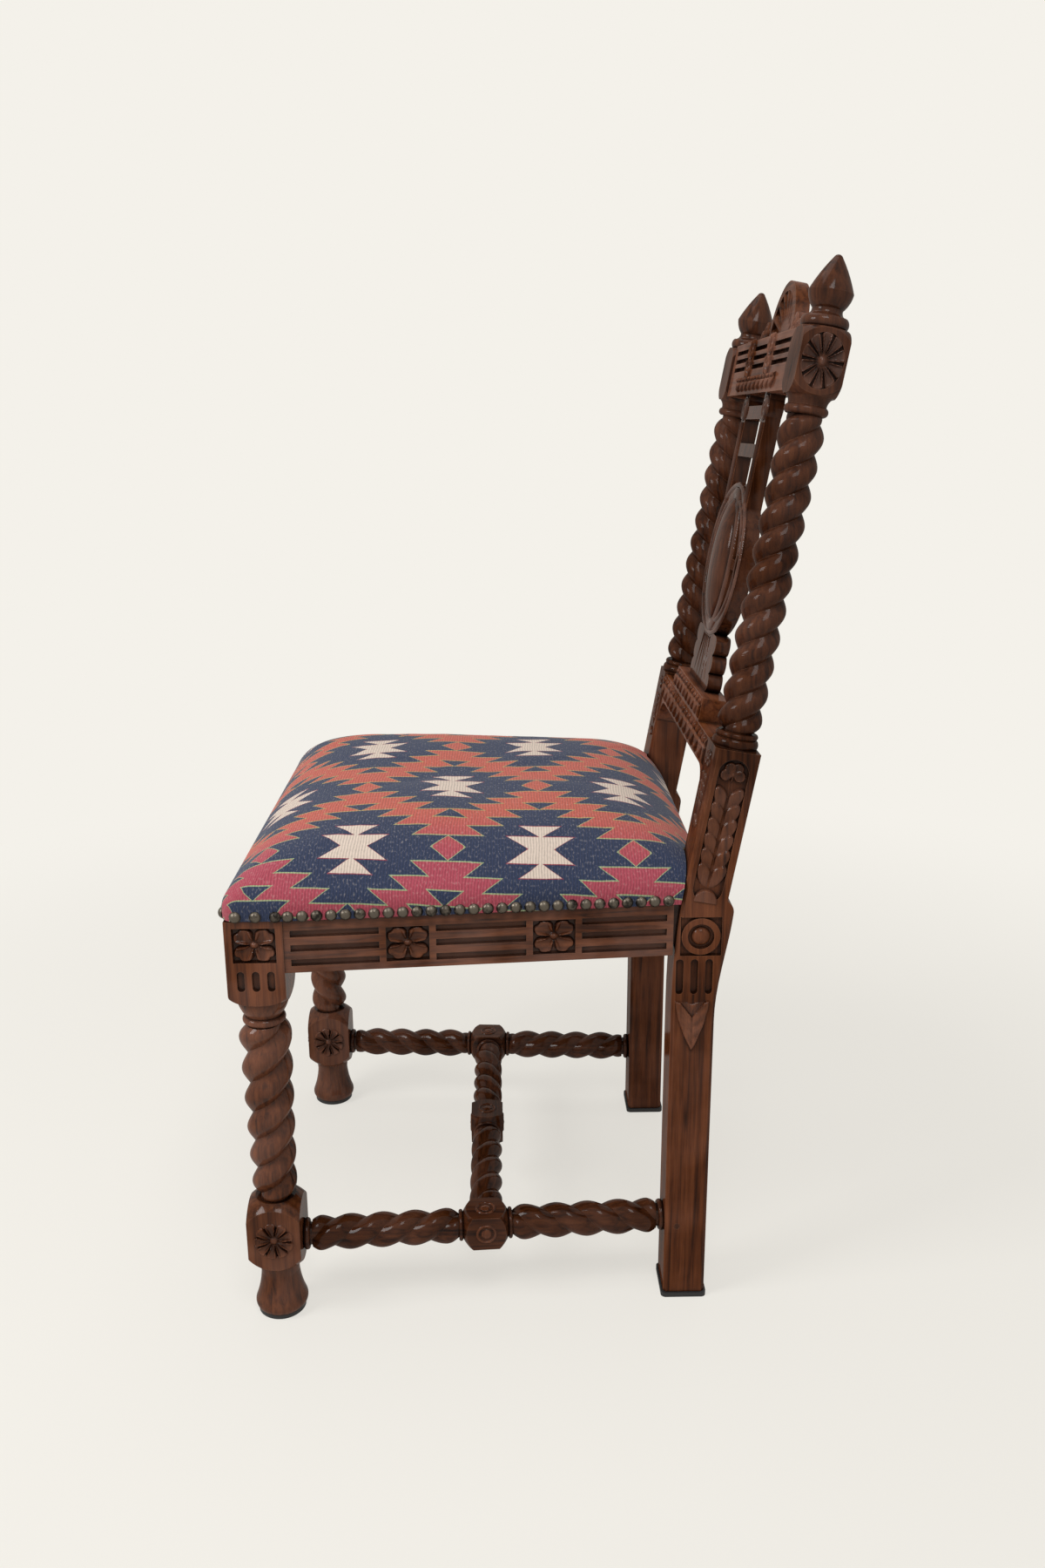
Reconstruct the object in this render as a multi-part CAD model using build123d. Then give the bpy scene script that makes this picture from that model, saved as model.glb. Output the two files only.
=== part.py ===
# Carved side chair with barley-twist legs, posts and stretchers and a stuffed-over seat.
# Millimetres, +Z up. The sitter faces -Y, so the sitter's left is +X.
from build123d import *
import os
from math import asin, atan2, ceil, cos, degrees, hypot, pi, radians, sin, sqrt, tan

os.makedirs("parts", exist_ok=True)

# Plan and height of the seat frame
FRONT_SPACING = 420.0  # across the front leg axes
REAR_SPACING = 366.0  # across the rear leg axes
LEG_RUN = 410.0  # front leg axis to rear leg axis
RAIL_TOP = 440.0
RAIL_HEIGHT = 62.0
RAIL_THICK = 24.0
RAIL_SETBACK = 1.0  # rails lie this far inside the leg faces

# Mortise and tenon joints of the rails
TENON_LENGTH = 22.0
TENON_THICK = 9.0
TENON_SHOULDER = 8.0  # above and below each tenon
JOINT_CLEARANCE = 0.15

# Front legs
FRONT_BLOCK = 54.0  # square top block
FRONT_BLOCK_HEIGHT = 95.0
LEG_CUP_HEIGHT = 27.0  # turned neck and cup under the top block
LEG_NECK_RADIUS = 17.0
LEG_RING_RADIUS = 19.0
LEG_TWIST_TOP_RADIUS = 25.3
LEG_TWIST_FOOT_RADIUS = 21.5
LEG_TWIST_RATIO = 0.67  # strand spacing over diameter
LOW_BLOCK = 52.0
LOW_BLOCK_CENTRE = 92.5
LOW_BLOCK_HEIGHT = 76.0  # with its turned shoulders
SHOULDER_RADIUS = 20.0
SHOULDER_HEIGHT = 20.0
FOOT_RADIUS = 26.0
FOOT_NECK_RADIUS = 19.0
FOOT_BASE_RADIUS = 23.5

# Rear posts
POST_WIDTH = 46.0  # across the chair
POST_DEPTH = 42.0  # front to back
POST_RAKE = 10.07  # degrees, above the seat
BEND_HEIGHT = 388.0  # where the raked axis leaves the upright one
POST_KNEE = 15.0  # how far the back of the knee stands out
KNEE_SHARE = 2 / 3  # the knee's place between the bend and the straight above it
BEND_BELOW = 80.0  # the post is straight up to this far under the bend
BEND_ABOVE = 48.0  # and from this far over it
POST_CHAMFER = 3.0
PANEL_END = 192.0  # along the raked axis from the bend to the collar
POST_COLLAR = 14.0
COLLAR_SINK = 2.0  # the collar is let into the leaning head of the leg
POST_TWIST_LENGTH = 284.0
POST_TWIST_RADIUS = 20.5
POST_TWIST_RATIO = 0.62
POST_NECK = 16.0
POST_BLOCK_LENGTH = 56.0
POST_SHOULDER = 13.0  # the block's ends are turned down over this length
POST_SHOULDER_RADIUS = 22.4
TOP_SPACING = 336.0  # across the posts at the top of the upper blocks

# Finials
FINIAL_HEIGHT = 61.0
FINIAL_RADIUS = 19.5
FINIAL_NECK_RADIUS = 13.4
DOWEL_RADIUS = 7.0
DOWEL_LENGTH = 22.0

# Stretchers
STRETCHER_HEIGHT = 82.0
STRETCHER_BLOCK = 36.0
STRETCHER_BLOCK_LENGTH = 30.0
STRETCHER_CONE = 8.0  # turned shoulder at each end of a block
STRETCHER_TWIST_RADIUS = 17.2
STRETCHER_TWIST_RATIO = 0.93
STRETCHER_NECK = 8.0
STRETCHER_RING_RADIUS = 15.5
STRETCHER_NECK_RADIUS = 11.0
ROUND_TENON_RADIUS = 8.0
ROUND_TENON_LENGTH = 24.0
CROSS_TENON_LENGTH = 12.0
PEG_RADIUS = 3.0
PEG_LENGTH = 34.0

# Twist strands
STRAND_NOTCH = 0.72  # radius in the groove over radius on the strand
STRAND_END = 0.80  # a twist draws in to this share of its radius at both ends
STRAND_ROLL = 11.0  # over this length
STRAND_STEP = 30.0  # degrees of turn between two sections

# Carved grounds
FLOWER_PANEL = (40.0, 34.0)  # sunk panels of the leg blocks and rails
FLOWER_DEPTH = 4.0
FLUTE_WIDTH = 7.0
FLUTE_DEPTH = 3.5
FLUTE_PITCH = 14.0
LEG_FLUTE_HEIGHT = 20.0
LEG_FLUTE_CENTRE = 370.0
POST_FLUTE_HEIGHT = 36.0
LEG_FLOWER_CENTRE = 405.5
GROOVE_HEIGHT = 6.5
GROOVE_PITCH = 14.2
GROOVE_DEPTH = 3.0
GROOVE_CENTRE = 402.0
GROOVE_MARGIN = 6.0
RAIL_FLOWERS = 2  # flower panels along a rail
ROUNDEL_RADIUS = 17.0
ROUNDEL_DEPTH = 2.0
ROUNDEL_BOSS = 5.0
MEDALLION_RADII = (18.4, 23.4)  # the oval sinking of the posts' upper blocks
POST_ROUNDEL_RISE = 9.0  # over the bend
POST_ROUNDEL_RADIUS = 18.5
POST_ROUNDEL_SQUARE = 39.0
POST_ROUNDEL_SINKING = 12.5
POST_ROUNDEL_BOSS = 9.5
LEAF_PANEL_WIDTH = 28.0
LEAF_PANEL_GAP = 16.4  # between roundel and leaf panel
LEAF_PANEL_MARGIN = 8.0  # under the collar
LEAF_DEPTH = 3.0
FLUTE_GAP = 4.5  # between roundel and flutes

# Back between the posts, measured up the rake from the bend and forward from the post axes
CREST_HEIGHT = 53.0
CREST_FRONT = 18.0
CREST_THICK = 28.0
CREST_SLOT = 4.5
CREST_SLOT_PITCH = 8.7
CREST_SLOT_DEPTH = 5.0
CREST_SLOT_TOP = 9.0  # first slot's centre below the top edge
CREST_FLOWER_SPACING = 96.0  # between the two columns of flowers
CREST_FLOWER_WIDTH = 26.0
CREST_END_MARGIN = 12.0
BACK_TENON = (16.0, 9.0)  # length and thickness
LOWER_TIER_BOTTOM = 160.0
LOWER_TIER_HEIGHT = 30.0
UPPER_TIER_HEIGHT = 24.0
UPPER_TIER_WIDTH = 176.0
LOWER_RAIL_FRONT = 19.5
LOWER_RAIL_THICK = 27.0
BRACKET_RADIUS = 26.0
SPLAT_FRONT = 12.0
SPLAT_THICK = 15.0
PEDESTAL_HEIGHT = 57.0
PEDESTAL_WIDTH = 96.0
PEDESTAL_LOBES = 3
STRAP_RADII = (88.0, 78.0)  # half width and half height of the strapwork oval
STRAP_WIDTH = 17.0
OVAL_RADII = (47.0, 72.0)
BOSS_RADII = (34.0, 62.0, 12.0)
STILE_WIDTH = 20.0
STILE_SPACING = 104.0
BAR_HEIGHT = 13.0
BAR_GAP = 24.0
STILE_KNOB_RADIUS = 13.0
ARCH_RADIUS = 56.0
ARCH_RIM = 9.0
ARCH_FRONT = 4.0
ARCH_THICK = 14.0
ARCH_SINK = 4.0  # the fan lies this far behind the rim
FAN_RIBS = 9
SCROLL_RADII = (11.0, 7.5)
TONGUE_DEPTH = 8.0

# Seat: webbing, sacking, stuffing and cover
STRAP_THICK = 1.2
STRAP_CLOTH_WIDTH = 50.0
STRAPS_LENGTHWISE = 4
STRAPS_CROSSWISE = 4
HESSIAN_THICK = 1.0
HESSIAN_MARGIN = 3.0  # inside the cover
COVER_THICK = 2.0
COVER_LAP = 14.4  # the cover hangs this far below its seat line
CROWN_HEIGHT = 66.0  # top of the cover over its seat line
CROWN_INSET = 130.0  # the flat of the crown lies this far inside the edge
CROWN_CORNER = 40.0  # the corners' radius grows by this much up to the crown
CROWN_STEPS = 7
EDGE_BULGE = 5.0
PAD_CLEARANCE = 0.5
SEAT_CORNER = 14.0
POST_GAP = 1.0  # between cushion and posts
NAIL_RADIUS = 5.6
NAIL_DOME = 4.2
NAIL_PITCH = 13.0
NAIL_DROP = 9.0  # nail centres below the seat line

# Corner blocks and screws
CORNER_REACH = 46.0
CORNER_BLOCK_HEIGHT = 36.0
CORNER_BLOCK_TOP = 428.0
SCREW_RADIUS = 2.0
SCREW_HEAD_RADIUS = 4.0
SCREW_HEAD = 2.5
SCREW_GRIP = 14.0  # block left under a screw head
SCREW_BITE = 12.0  # screw length in the rail

# Glides
GLIDE_HEIGHT = 5.0
GLIDE_LIP = 2.0  # rear glides stand out past the leg
GLIDE_CORNER = 5.0
GLIDE_NAIL_RADIUS = 1.5
GLIDE_NAIL_LENGTH = 18.0

# Places worked out from the sizes above
FRONT_X = FRONT_SPACING / 2
REAR_X = REAR_SPACING / 2
FRONT_Y = -LEG_RUN / 2
REAR_Y = LEG_RUN / 2
RAIL_BOTTOM = RAIL_TOP - RAIL_HEIGHT
FRONT_FACE = FRONT_BLOCK / 2
RAKE = radians(POST_RAKE)
COLUMN_START = PANEL_END + POST_COLLAR
COLUMN_END = COLUMN_START + POST_TWIST_LENGTH
CREST_TOP = COLUMN_END + POST_NECK + POST_BLOCK_LENGTH
CREST_BOTTOM = CREST_TOP - CREST_HEIGHT
LOWER_TIER_TOP = LOWER_TIER_BOTTOM + LOWER_TIER_HEIGHT
SPLAT_BOTTOM = LOWER_TIER_TOP + UPPER_TIER_HEIGHT
LEAN = (REAR_SPACING - TOP_SPACING) / 2 / (CREST_TOP - PANEL_END)
SEAT_LINE = RAIL_TOP + 2 * STRAP_THICK + HESSIAN_THICK
BACK_RAIL_Y = REAR_Y
SEAT_REAR = BACK_RAIL_Y + RAIL_THICK / 2

# The back's own plane: X across, Y up the rake from the bend, Z forward from the post axes
BACK = Plane(origin=(0, REAR_Y, BEND_HEIGHT), x_dir=(1, 0, 0), z_dir=(0, -cos(RAKE), sin(RAKE)))


def span(x0, x1, y0, y1, z0, z1):
    """A box from its lowest and highest corners."""
    return Pos((x0 + x1) / 2, (y0 + y1) / 2, (z0 + z1) / 2) * Box(x1 - x0, y1 - y0, z1 - z0)


def turned(start, *steps):
    """Turn an outline of (radius, height) about Z. One point is a line, two are an arc."""
    edges = []
    here = start
    for step in steps:
        points = [(radius, 0, height) for radius, height in (here, *step)]
        edges.append(Line(*points) if len(step) == 1 else ThreePointArc(*points))
        here = step[-1]
    edges.append(Line((here[0], 0, here[1]), (start[0], 0, start[1])))
    return revolve(make_face(edges), Axis.Z)


def dome(radius, height):
    """A round boss on the XY plane, a cap cut from a ball."""
    ball = (radius**2 + height**2) / (2 * height)
    base = degrees(asin((ball - height) / ball))
    return Sphere(ball, arc_size1=base, align=(Align.CENTER, Align.CENTER, Align.MIN))


def on_face(shape, x, y, z, facing):
    """Set a shape made on the XY plane onto an upright face that looks along an angle in plan."""
    plane = Plane((x, y, z), x_dir=(-sin(facing), cos(facing), 0), z_dir=(cos(facing), sin(facing), 0))
    return plane * shape


def strand_section(radius, turn, height):
    """The outline of two rope strands side by side, as four arcs."""
    offset = radius * (1 - STRAND_NOTCH**2) / 2
    strand = radius - offset
    notch = radius * STRAND_NOTCH
    half_arc = (pi / 2 + asin(offset / strand)) / 2
    middle_x = offset + strand * cos(half_arc)
    middle_y = strand * sin(half_arc)
    corners = [(radius, 0), (0, notch), (-radius, 0), (0, -notch)]
    middles = [(middle_x, middle_y), (-middle_x, middle_y), (-middle_x, -middle_y), (middle_x, -middle_y)]
    arcs = [ThreePointArc(corners[i], middles[i], corners[(i + 1) % 4]) for i in range(4)]
    return Pos(0, 0, height) * Rot(0, 0, turn) * Wire(arcs)


def barley_twist(length, start_radius, end_radius, ratio, hand):
    """A two-start twist standing on the XY plane. A hand of 1 is right-handed, -1 left-handed."""
    mean_lead = 2 * ratio * (start_radius + end_radius)
    count = ceil(360 * length / mean_lead / STRAND_STEP)
    step = length / count
    turn = 0.0
    sections = []
    for i in range(count + 1):
        height = i * step
        radius = start_radius + (end_radius - start_radius) * i / count
        inside = min(1.0, min(height, length - height) / STRAND_ROLL)
        drawn = 1 - (1 - STRAND_END) * (1 - inside) ** 2
        sections.append(strand_section(radius * drawn, hand * turn, height))
        turn += 360 * step / (4 * ratio * radius)
    return Solid.make_loft(sections)


def shouldered_block(width, depth, length, shoulder, neck_radius):
    """A block about Z, its ends turned down to a neck so that its faces end in arches."""
    corner = hypot(width, depth) / 2 + 1
    rise = (neck_radius + corner) / 2 + shoulder / 8
    outline = turned(
        (0, 0),
        ((neck_radius, 0),),
        ((rise, shoulder / 2), (corner, shoulder)),
        ((corner, length - shoulder),),
        ((rise, length - shoulder / 2), (neck_radius, length)),
        ((0, length),),
    )
    return outline & Pos(0, 0, length / 2) * Box(width, depth, length)


def sunk_roundel():
    """A round sinking with a boss left standing in it, cut downwards from the XY plane."""
    ground = Pos(0, 0, -ROUNDEL_DEPTH / 2) * Cylinder(ROUNDEL_RADIUS, ROUNDEL_DEPTH)
    return ground - Pos(0, 0, -ROUNDEL_DEPTH) * dome(ROUNDEL_BOSS, ROUNDEL_DEPTH)


def sunk_panel():
    """A sunk rectangle for a carved flower, cut downwards from the XY plane."""
    return Pos(0, 0, -FLOWER_DEPTH / 2) * Box(*FLOWER_PANEL, FLOWER_DEPTH)


def flutes(height):
    """Three upright flutes with round tops, cut downwards from the XY plane."""
    flute = extrude(Rot(0, 0, 90) * SlotOverall(height, FLUTE_WIDTH), -FLUTE_DEPTH)
    return [Pos(FLUTE_PITCH * i, 0, 0) * flute for i in (-1, 0, 1)]


def rail_tenon(x0, x1, y0, y1, gap=0.0):
    """A rail's tenon, or its mortise with a gap."""
    return span(
        x0 - gap, x1 + gap, y0 - gap, y1 + gap,
        RAIL_BOTTOM + TENON_SHOULDER - gap, RAIL_TOP - TENON_SHOULDER + gap,
    )


# Side rail in plan: its outer line runs from the front block to the rear leg
SIDE_FRONT = FRONT_Y + FRONT_FACE
SIDE_REAR = REAR_Y - POST_DEPTH / 2
SIDE_FRONT_X = FRONT_X + FRONT_FACE - RAIL_SETBACK
SIDE_REAR_X = REAR_X + POST_WIDTH / 2 - RAIL_SETBACK
SIDE_SLOPE = (SIDE_REAR_X - SIDE_FRONT_X) / (SIDE_REAR - SIDE_FRONT)


def side_outer(y):
    """The side rail's outer face at a depth y."""
    return SIDE_FRONT_X + SIDE_SLOPE * (y - SIDE_FRONT)


def side_inner(y):
    """The side rail's inner face at a depth y."""
    return side_outer(y) - RAIL_THICK


def side_tenon(front, gap=0.0):
    """The left side rail's tenon in the front leg or in the rear leg."""
    y = SIDE_FRONT if front else SIDE_REAR
    middle = side_outer(y) - RAIL_THICK / 2
    reach = (y - TENON_LENGTH, y) if front else (y, y + TENON_LENGTH)
    return rail_tenon(middle - TENON_THICK / 2, middle + TENON_THICK / 2, *reach, gap)


FRONT_RAIL_FACE = FRONT_Y - FRONT_FACE + RAIL_SETBACK
FRONT_RAIL_MIDDLE = FRONT_RAIL_FACE + RAIL_THICK / 2
FRONT_RAIL_END = FRONT_X - FRONT_FACE
BACK_RAIL_END = REAR_X - POST_WIDTH / 2


def cross_tenon(end, middle, gap=0.0):
    """The left tenon of the front or back rail."""
    return rail_tenon(end, end + TENON_LENGTH, middle - TENON_THICK / 2, middle + TENON_THICK / 2, gap)


# Side stretcher's line, from the front leg's lower block to the rear leg
STRETCH_FRONT = FRONT_Y + LOW_BLOCK / 2
STRETCH_REAR = REAR_Y - POST_DEPTH / 2
STRETCH_AXIS = Vector(REAR_X - FRONT_X, LEG_RUN, 0).normalized()


def stretcher_x(y):
    """The left side stretcher's axis at a depth y."""
    return FRONT_X + (REAR_X - FRONT_X) * (y - FRONT_Y) / LEG_RUN


STRETCH_START = Vector(stretcher_x(STRETCH_FRONT), STRETCH_FRONT, STRETCHER_HEIGHT)
STRETCH_LENGTH = (STRETCH_REAR - STRETCH_FRONT) / STRETCH_AXIS.Y
STRETCH_MIDDLE = STRETCH_START + STRETCH_AXIS * (STRETCH_LENGTH / 2)
STRETCH_PLANE = Plane(STRETCH_START, x_dir=(0, 0, 1), z_dir=STRETCH_AXIS)
CROSS_END = STRETCH_MIDDLE.X - STRETCHER_BLOCK / 2 / STRETCH_AXIS.Y


def round_tenon(front, gap=0.0):
    """The left side stretcher's round tenon, along Y."""
    y = STRETCH_FRONT if front else STRETCH_REAR
    sign = -1 if front else 1
    length = ROUND_TENON_LENGTH + gap
    place = Pos(stretcher_x(y), y + sign * length / 2, STRETCHER_HEIGHT) * Rot(90, 0, 0)
    return place * Cylinder(ROUND_TENON_RADIUS + gap, length)


def peg(gap=0.0):
    """The left peg, from the rear leg's outer face through the stretcher's tenon."""
    outer = REAR_X + POST_WIDTH / 2
    length = PEG_LENGTH + gap
    place = Pos(outer - length / 2, STRETCH_REAR + ROUND_TENON_LENGTH / 2, STRETCHER_HEIGHT)
    return place * Rot(0, 90, 0) * Cylinder(PEG_RADIUS + gap, length)


def front_leg():
    """The left front leg about its own axis, then set in its place."""
    low_start = LOW_BLOCK_CENTRE - LOW_BLOCK_HEIGHT / 2
    low_end = LOW_BLOCK_CENTRE + LOW_BLOCK_HEIGHT / 2
    block_start = RAIL_TOP - FRONT_BLOCK_HEIGHT
    cup_start = block_start - LEG_CUP_HEIGHT
    rise = low_start - GLIDE_HEIGHT
    foot = turned(
        (0, GLIDE_HEIGHT),
        ((FOOT_BASE_RADIUS, GLIDE_HEIGHT),),
        ((FOOT_RADIUS, GLIDE_HEIGHT + rise * 0.1), (FOOT_RADIUS - 0.6, GLIDE_HEIGHT + rise * 0.2)),
        ((FOOT_NECK_RADIUS + 2, GLIDE_HEIGHT + rise * 0.5), (FOOT_NECK_RADIUS, GLIDE_HEIGHT + rise * 0.8)),
        ((SHOULDER_RADIUS, low_start),),
        ((0, low_start),),
    )
    low = Pos(0, 0, low_start) * shouldered_block(
        LOW_BLOCK, LOW_BLOCK, LOW_BLOCK_HEIGHT, SHOULDER_HEIGHT, SHOULDER_RADIUS
    )
    for facing in (0, 180, 270):
        angle = radians(facing)
        low -= on_face(
            sunk_roundel(), LOW_BLOCK / 2 * cos(angle), LOW_BLOCK / 2 * sin(angle), LOW_BLOCK_CENTRE, angle
        )
    twist = Pos(0, 0, low_end) * barley_twist(
        cup_start - low_end, LEG_TWIST_FOOT_RADIUS, LEG_TWIST_TOP_RADIUS, LEG_TWIST_RATIO, 1
    )
    ring = LEG_CUP_HEIGHT * 0.3
    cup = turned(
        (0, cup_start),
        ((LEG_NECK_RADIUS, cup_start),),
        ((LEG_RING_RADIUS + 1.5, cup_start + ring / 2), (LEG_NECK_RADIUS, cup_start + ring)),
        ((LEG_NECK_RADIUS + 5, cup_start + ring * 2), (FRONT_FACE - 2, block_start),),
        ((0, block_start),),
    )
    corner = FRONT_BLOCK / sqrt(2) + 1
    softened = turned(
        (0, block_start),
        ((FRONT_FACE - 1, block_start),),
        ((FRONT_FACE + 7, block_start + 4), (corner, block_start + 14)),
        ((corner, RAIL_TOP),),
        ((0, RAIL_TOP),),
    )
    top = softened & span(-FRONT_FACE, FRONT_FACE, -FRONT_FACE, FRONT_FACE, block_start, RAIL_TOP)
    for facing in (0, 270):
        angle = radians(facing)
        place = (FRONT_FACE * cos(angle), FRONT_FACE * sin(angle))
        top -= on_face(sunk_panel(), *place, LEG_FLOWER_CENTRE, angle)
        top -= [on_face(flute, *place, LEG_FLUTE_CENTRE, angle) for flute in flutes(LEG_FLUTE_HEIGHT)]
    place = Pos(FRONT_X, FRONT_Y, 0)
    top = place * top - cover_corner()
    top -= side_tenon(True, JOINT_CLEARANCE)
    top -= cross_tenon(FRONT_RAIL_END, FRONT_RAIL_MIDDLE, JOINT_CLEARANCE)
    low = place * low - round_tenon(True, JOINT_CLEARANCE)
    foot = place * foot - glide_nail(FRONT_X, FRONT_Y, JOINT_CLEARANCE)
    return foot + low + place * twist + place * cup + top


def cover_corner():
    """What is rounded off the left front leg's corner under the cover's lap."""
    bottom = SEAT_LINE - COVER_LAP
    corner = span(FRONT_X, FRONT_X + FRONT_BLOCK, FRONT_Y - FRONT_BLOCK, FRONT_Y, bottom, RAIL_TOP)
    inset = COVER_THICK + JOINT_CLEARANCE
    return corner - Pos(0, 0, bottom) * extrude(seat_outline(inset, SEAT_CORNER - COVER_THICK), FRONT_BLOCK)


def raked(along, forward):
    """A point (y, z) of the side profile, along the raked axis and forward from it."""
    y = REAR_Y + along * sin(RAKE) - forward * cos(RAKE)
    z = BEND_HEIGHT + along * cos(RAKE) + forward * sin(RAKE)
    return 0, y, z


def upper_post_plane(along):
    """The leaning frame of the left post's column, at a distance from its collar."""
    lean = Vector(-sin(LEAN), sin(RAKE) * cos(LEAN), cos(RAKE) * cos(LEAN))
    across = Vector(cos(LEAN), sin(RAKE) * sin(LEAN), cos(RAKE) * sin(LEAN))
    start = BACK.from_local_coords(Vector(REAR_X, PANEL_END, 0))
    return Plane(start + lean * along, x_dir=across, z_dir=lean)


def rear_post():
    """The left rear leg and post in one piece."""
    half = POST_DEPTH / 2
    front = REAR_Y - half
    back = REAR_Y + half
    straight = BEND_HEIGHT - BEND_BELOW
    bend = BEND_ABOVE / cos(RAKE)
    knee = Vector(0, back + POST_KNEE, BEND_HEIGHT + KNEE_SHARE * BEND_ABOVE)
    ledge = raked(bend, -half)
    profile = make_face([
        Line((0, front, GLIDE_HEIGHT), (0, back, GLIDE_HEIGHT)),
        Line((0, back, GLIDE_HEIGHT), (0, back, straight)),
        Spline((0, back, straight), knee, tangents=((0, 0, 1), (0, 0.1, 1))),
        ThreePointArc(knee, knee + Vector(0, -1, 5), ledge),
        Line(ledge, raked(PANEL_END, -half)),
        Line(raked(PANEL_END, -half), raked(PANEL_END, half)),
        Line(raked(PANEL_END, half), raked(bend, half)),
        Spline(raked(bend, half), (0, front, straight), tangents=((0, -sin(RAKE), -cos(RAKE)), (0, 0, -1))),
        Line((0, front, straight), (0, front, GLIDE_HEIGHT)),
    ])
    leg = Pos(REAR_X - POST_WIDTH / 2, 0, 0) * extrude(profile, POST_WIDTH, dir=(1, 0, 0))
    leg = chamfer(leg.edges().filter_by(Axis.Z), POST_CHAMFER)

    outer = REAR_X + POST_WIDTH / 2
    roundel_y = REAR_Y + POST_ROUNDEL_RISE * tan(RAKE) + POST_KNEE / 4
    roundel_z = BEND_HEIGHT + POST_ROUNDEL_RISE
    flute_z = roundel_z - POST_ROUNDEL_RADIUS - FLUTE_GAP - POST_FLUTE_HEIGHT / 2
    leg -= [on_face(flute, outer, REAR_Y, flute_z, 0) for flute in flutes(POST_FLUTE_HEIGHT)]
    square = Rectangle(POST_ROUNDEL_SQUARE, POST_ROUNDEL_SQUARE)
    corners = square - Circle(POST_ROUNDEL_RADIUS)
    sinking = Circle(POST_ROUNDEL_SINKING)
    for shape in (*corners.faces(), sinking):
        leg -= on_face(extrude(shape, -LEAF_DEPTH), outer, roundel_y, roundel_z, 0)
    boss = Pos(0, 0, -LEAF_DEPTH) * dome(POST_ROUNDEL_BOSS, 2 * LEAF_DEPTH)
    leg += on_face(boss, outer, roundel_y, roundel_z, 0)
    panel_start = POST_ROUNDEL_RISE + POST_ROUNDEL_RADIUS + LEAF_PANEL_GAP
    panel_end = PANEL_END - LEAF_PANEL_MARGIN
    panel = extrude(Rot(0, 0, 90) * SlotOverall(panel_end - panel_start, LEAF_PANEL_WIDTH), -LEAF_DEPTH)
    centre = raked((panel_start + panel_end) / 2, 0)
    panel_plane = Plane((outer, *centre[1:]), x_dir=(0, cos(RAKE), -sin(RAKE)), z_dir=(1, 0, 0))
    leg -= panel_plane * panel
    leg -= side_tenon(False, JOINT_CLEARANCE)
    leg -= cross_tenon(BACK_RAIL_END, BACK_RAIL_Y, JOINT_CLEARANCE)
    leg -= round_tenon(False, JOINT_CLEARANCE)
    leg -= peg(JOINT_CLEARANCE)
    leg -= lower_rail_tenon(JOINT_CLEARANCE)
    leg -= glide_nail(REAR_X, REAR_Y, JOINT_CLEARANCE)

    base = POST_COLLAR * 0.55
    collar = turned(
        (0, -COLLAR_SINK),
        ((half - 0.5, -COLLAR_SINK),),
        ((half - 0.5, 0),),
        ((half + 0.4, base / 2), (half - 1, base)),
        ((half - 2.5, base + 1),),
        ((half - 1.2, (base + POST_COLLAR) / 2), (half - 3.5, POST_COLLAR)),
        ((0, POST_COLLAR),),
    )
    twist = Pos(0, 0, POST_COLLAR) * barley_twist(
        POST_TWIST_LENGTH, POST_TWIST_RADIUS, POST_TWIST_RADIUS, POST_TWIST_RATIO, 1
    )
    neck_start = POST_COLLAR + POST_TWIST_LENGTH
    block_start = neck_start + POST_NECK
    block_end = block_start + POST_BLOCK_LENGTH
    neck = turned(
        (0, neck_start),
        ((half - 4.5, neck_start),),
        ((half - 1.5, neck_start + POST_NECK * 0.25), (half - 4, neck_start + POST_NECK * 0.5)),
        ((half - 3, neck_start + POST_NECK * 0.8), (half - 0.5, block_start)),
        ((0, block_start),),
    )
    block = Pos(0, 0, block_start) * shouldered_block(
        POST_WIDTH, POST_DEPTH, POST_BLOCK_LENGTH, POST_SHOULDER, POST_SHOULDER_RADIUS
    )
    block -= Pos(0, 0, block_end - DOWEL_LENGTH / 2) * Cylinder(
        DOWEL_RADIUS + JOINT_CLEARANCE, DOWEL_LENGTH + 2 * JOINT_CLEARANCE
    )
    medallion = Plane((POST_WIDTH / 2, 0, (block_start + block_end) / 2), x_dir=(0, 1, 0), z_dir=(1, 0, 0))
    sinking = extrude(Ellipse(*MEDALLION_RADII), -ROUNDEL_DEPTH)
    block -= medallion * (sinking - Pos(0, 0, -ROUNDEL_DEPTH) * dome(ROUNDEL_BOSS, ROUNDEL_DEPTH))
    column = upper_post_plane(0)
    block = column * block - crest_tenon(JOINT_CLEARANCE)
    return leg + column * collar + column * twist + column * neck + block


def finial():
    """The left finial with its dowel, on the post's leaning axis."""
    seat = CREST_TOP - PANEL_END
    base = POST_DEPTH / 2
    shape = turned(
        (0, -DOWEL_LENGTH),
        ((DOWEL_RADIUS, -DOWEL_LENGTH),),
        ((DOWEL_RADIUS, 0),),
        ((base - 2, 0),),
        ((base, FINIAL_HEIGHT * 0.08), (base - 2, FINIAL_HEIGHT * 0.16)),
        ((FINIAL_NECK_RADIUS + 0.6, FINIAL_HEIGHT * 0.21), (FINIAL_NECK_RADIUS, FINIAL_HEIGHT * 0.27)),
        ((FINIAL_NECK_RADIUS + 3.4, FINIAL_HEIGHT * 0.35), (FINIAL_RADIUS, FINIAL_HEIGHT * 0.5)),
        ((FINIAL_RADIUS - 4.1, FINIAL_HEIGHT * 0.65), (4.0, FINIAL_HEIGHT * 0.96)),
        ((2.6, FINIAL_HEIGHT * 0.988), (1.0, FINIAL_HEIGHT)),
        ((0, FINIAL_HEIGHT),),
    )
    return upper_post_plane(seat) * shape


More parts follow.
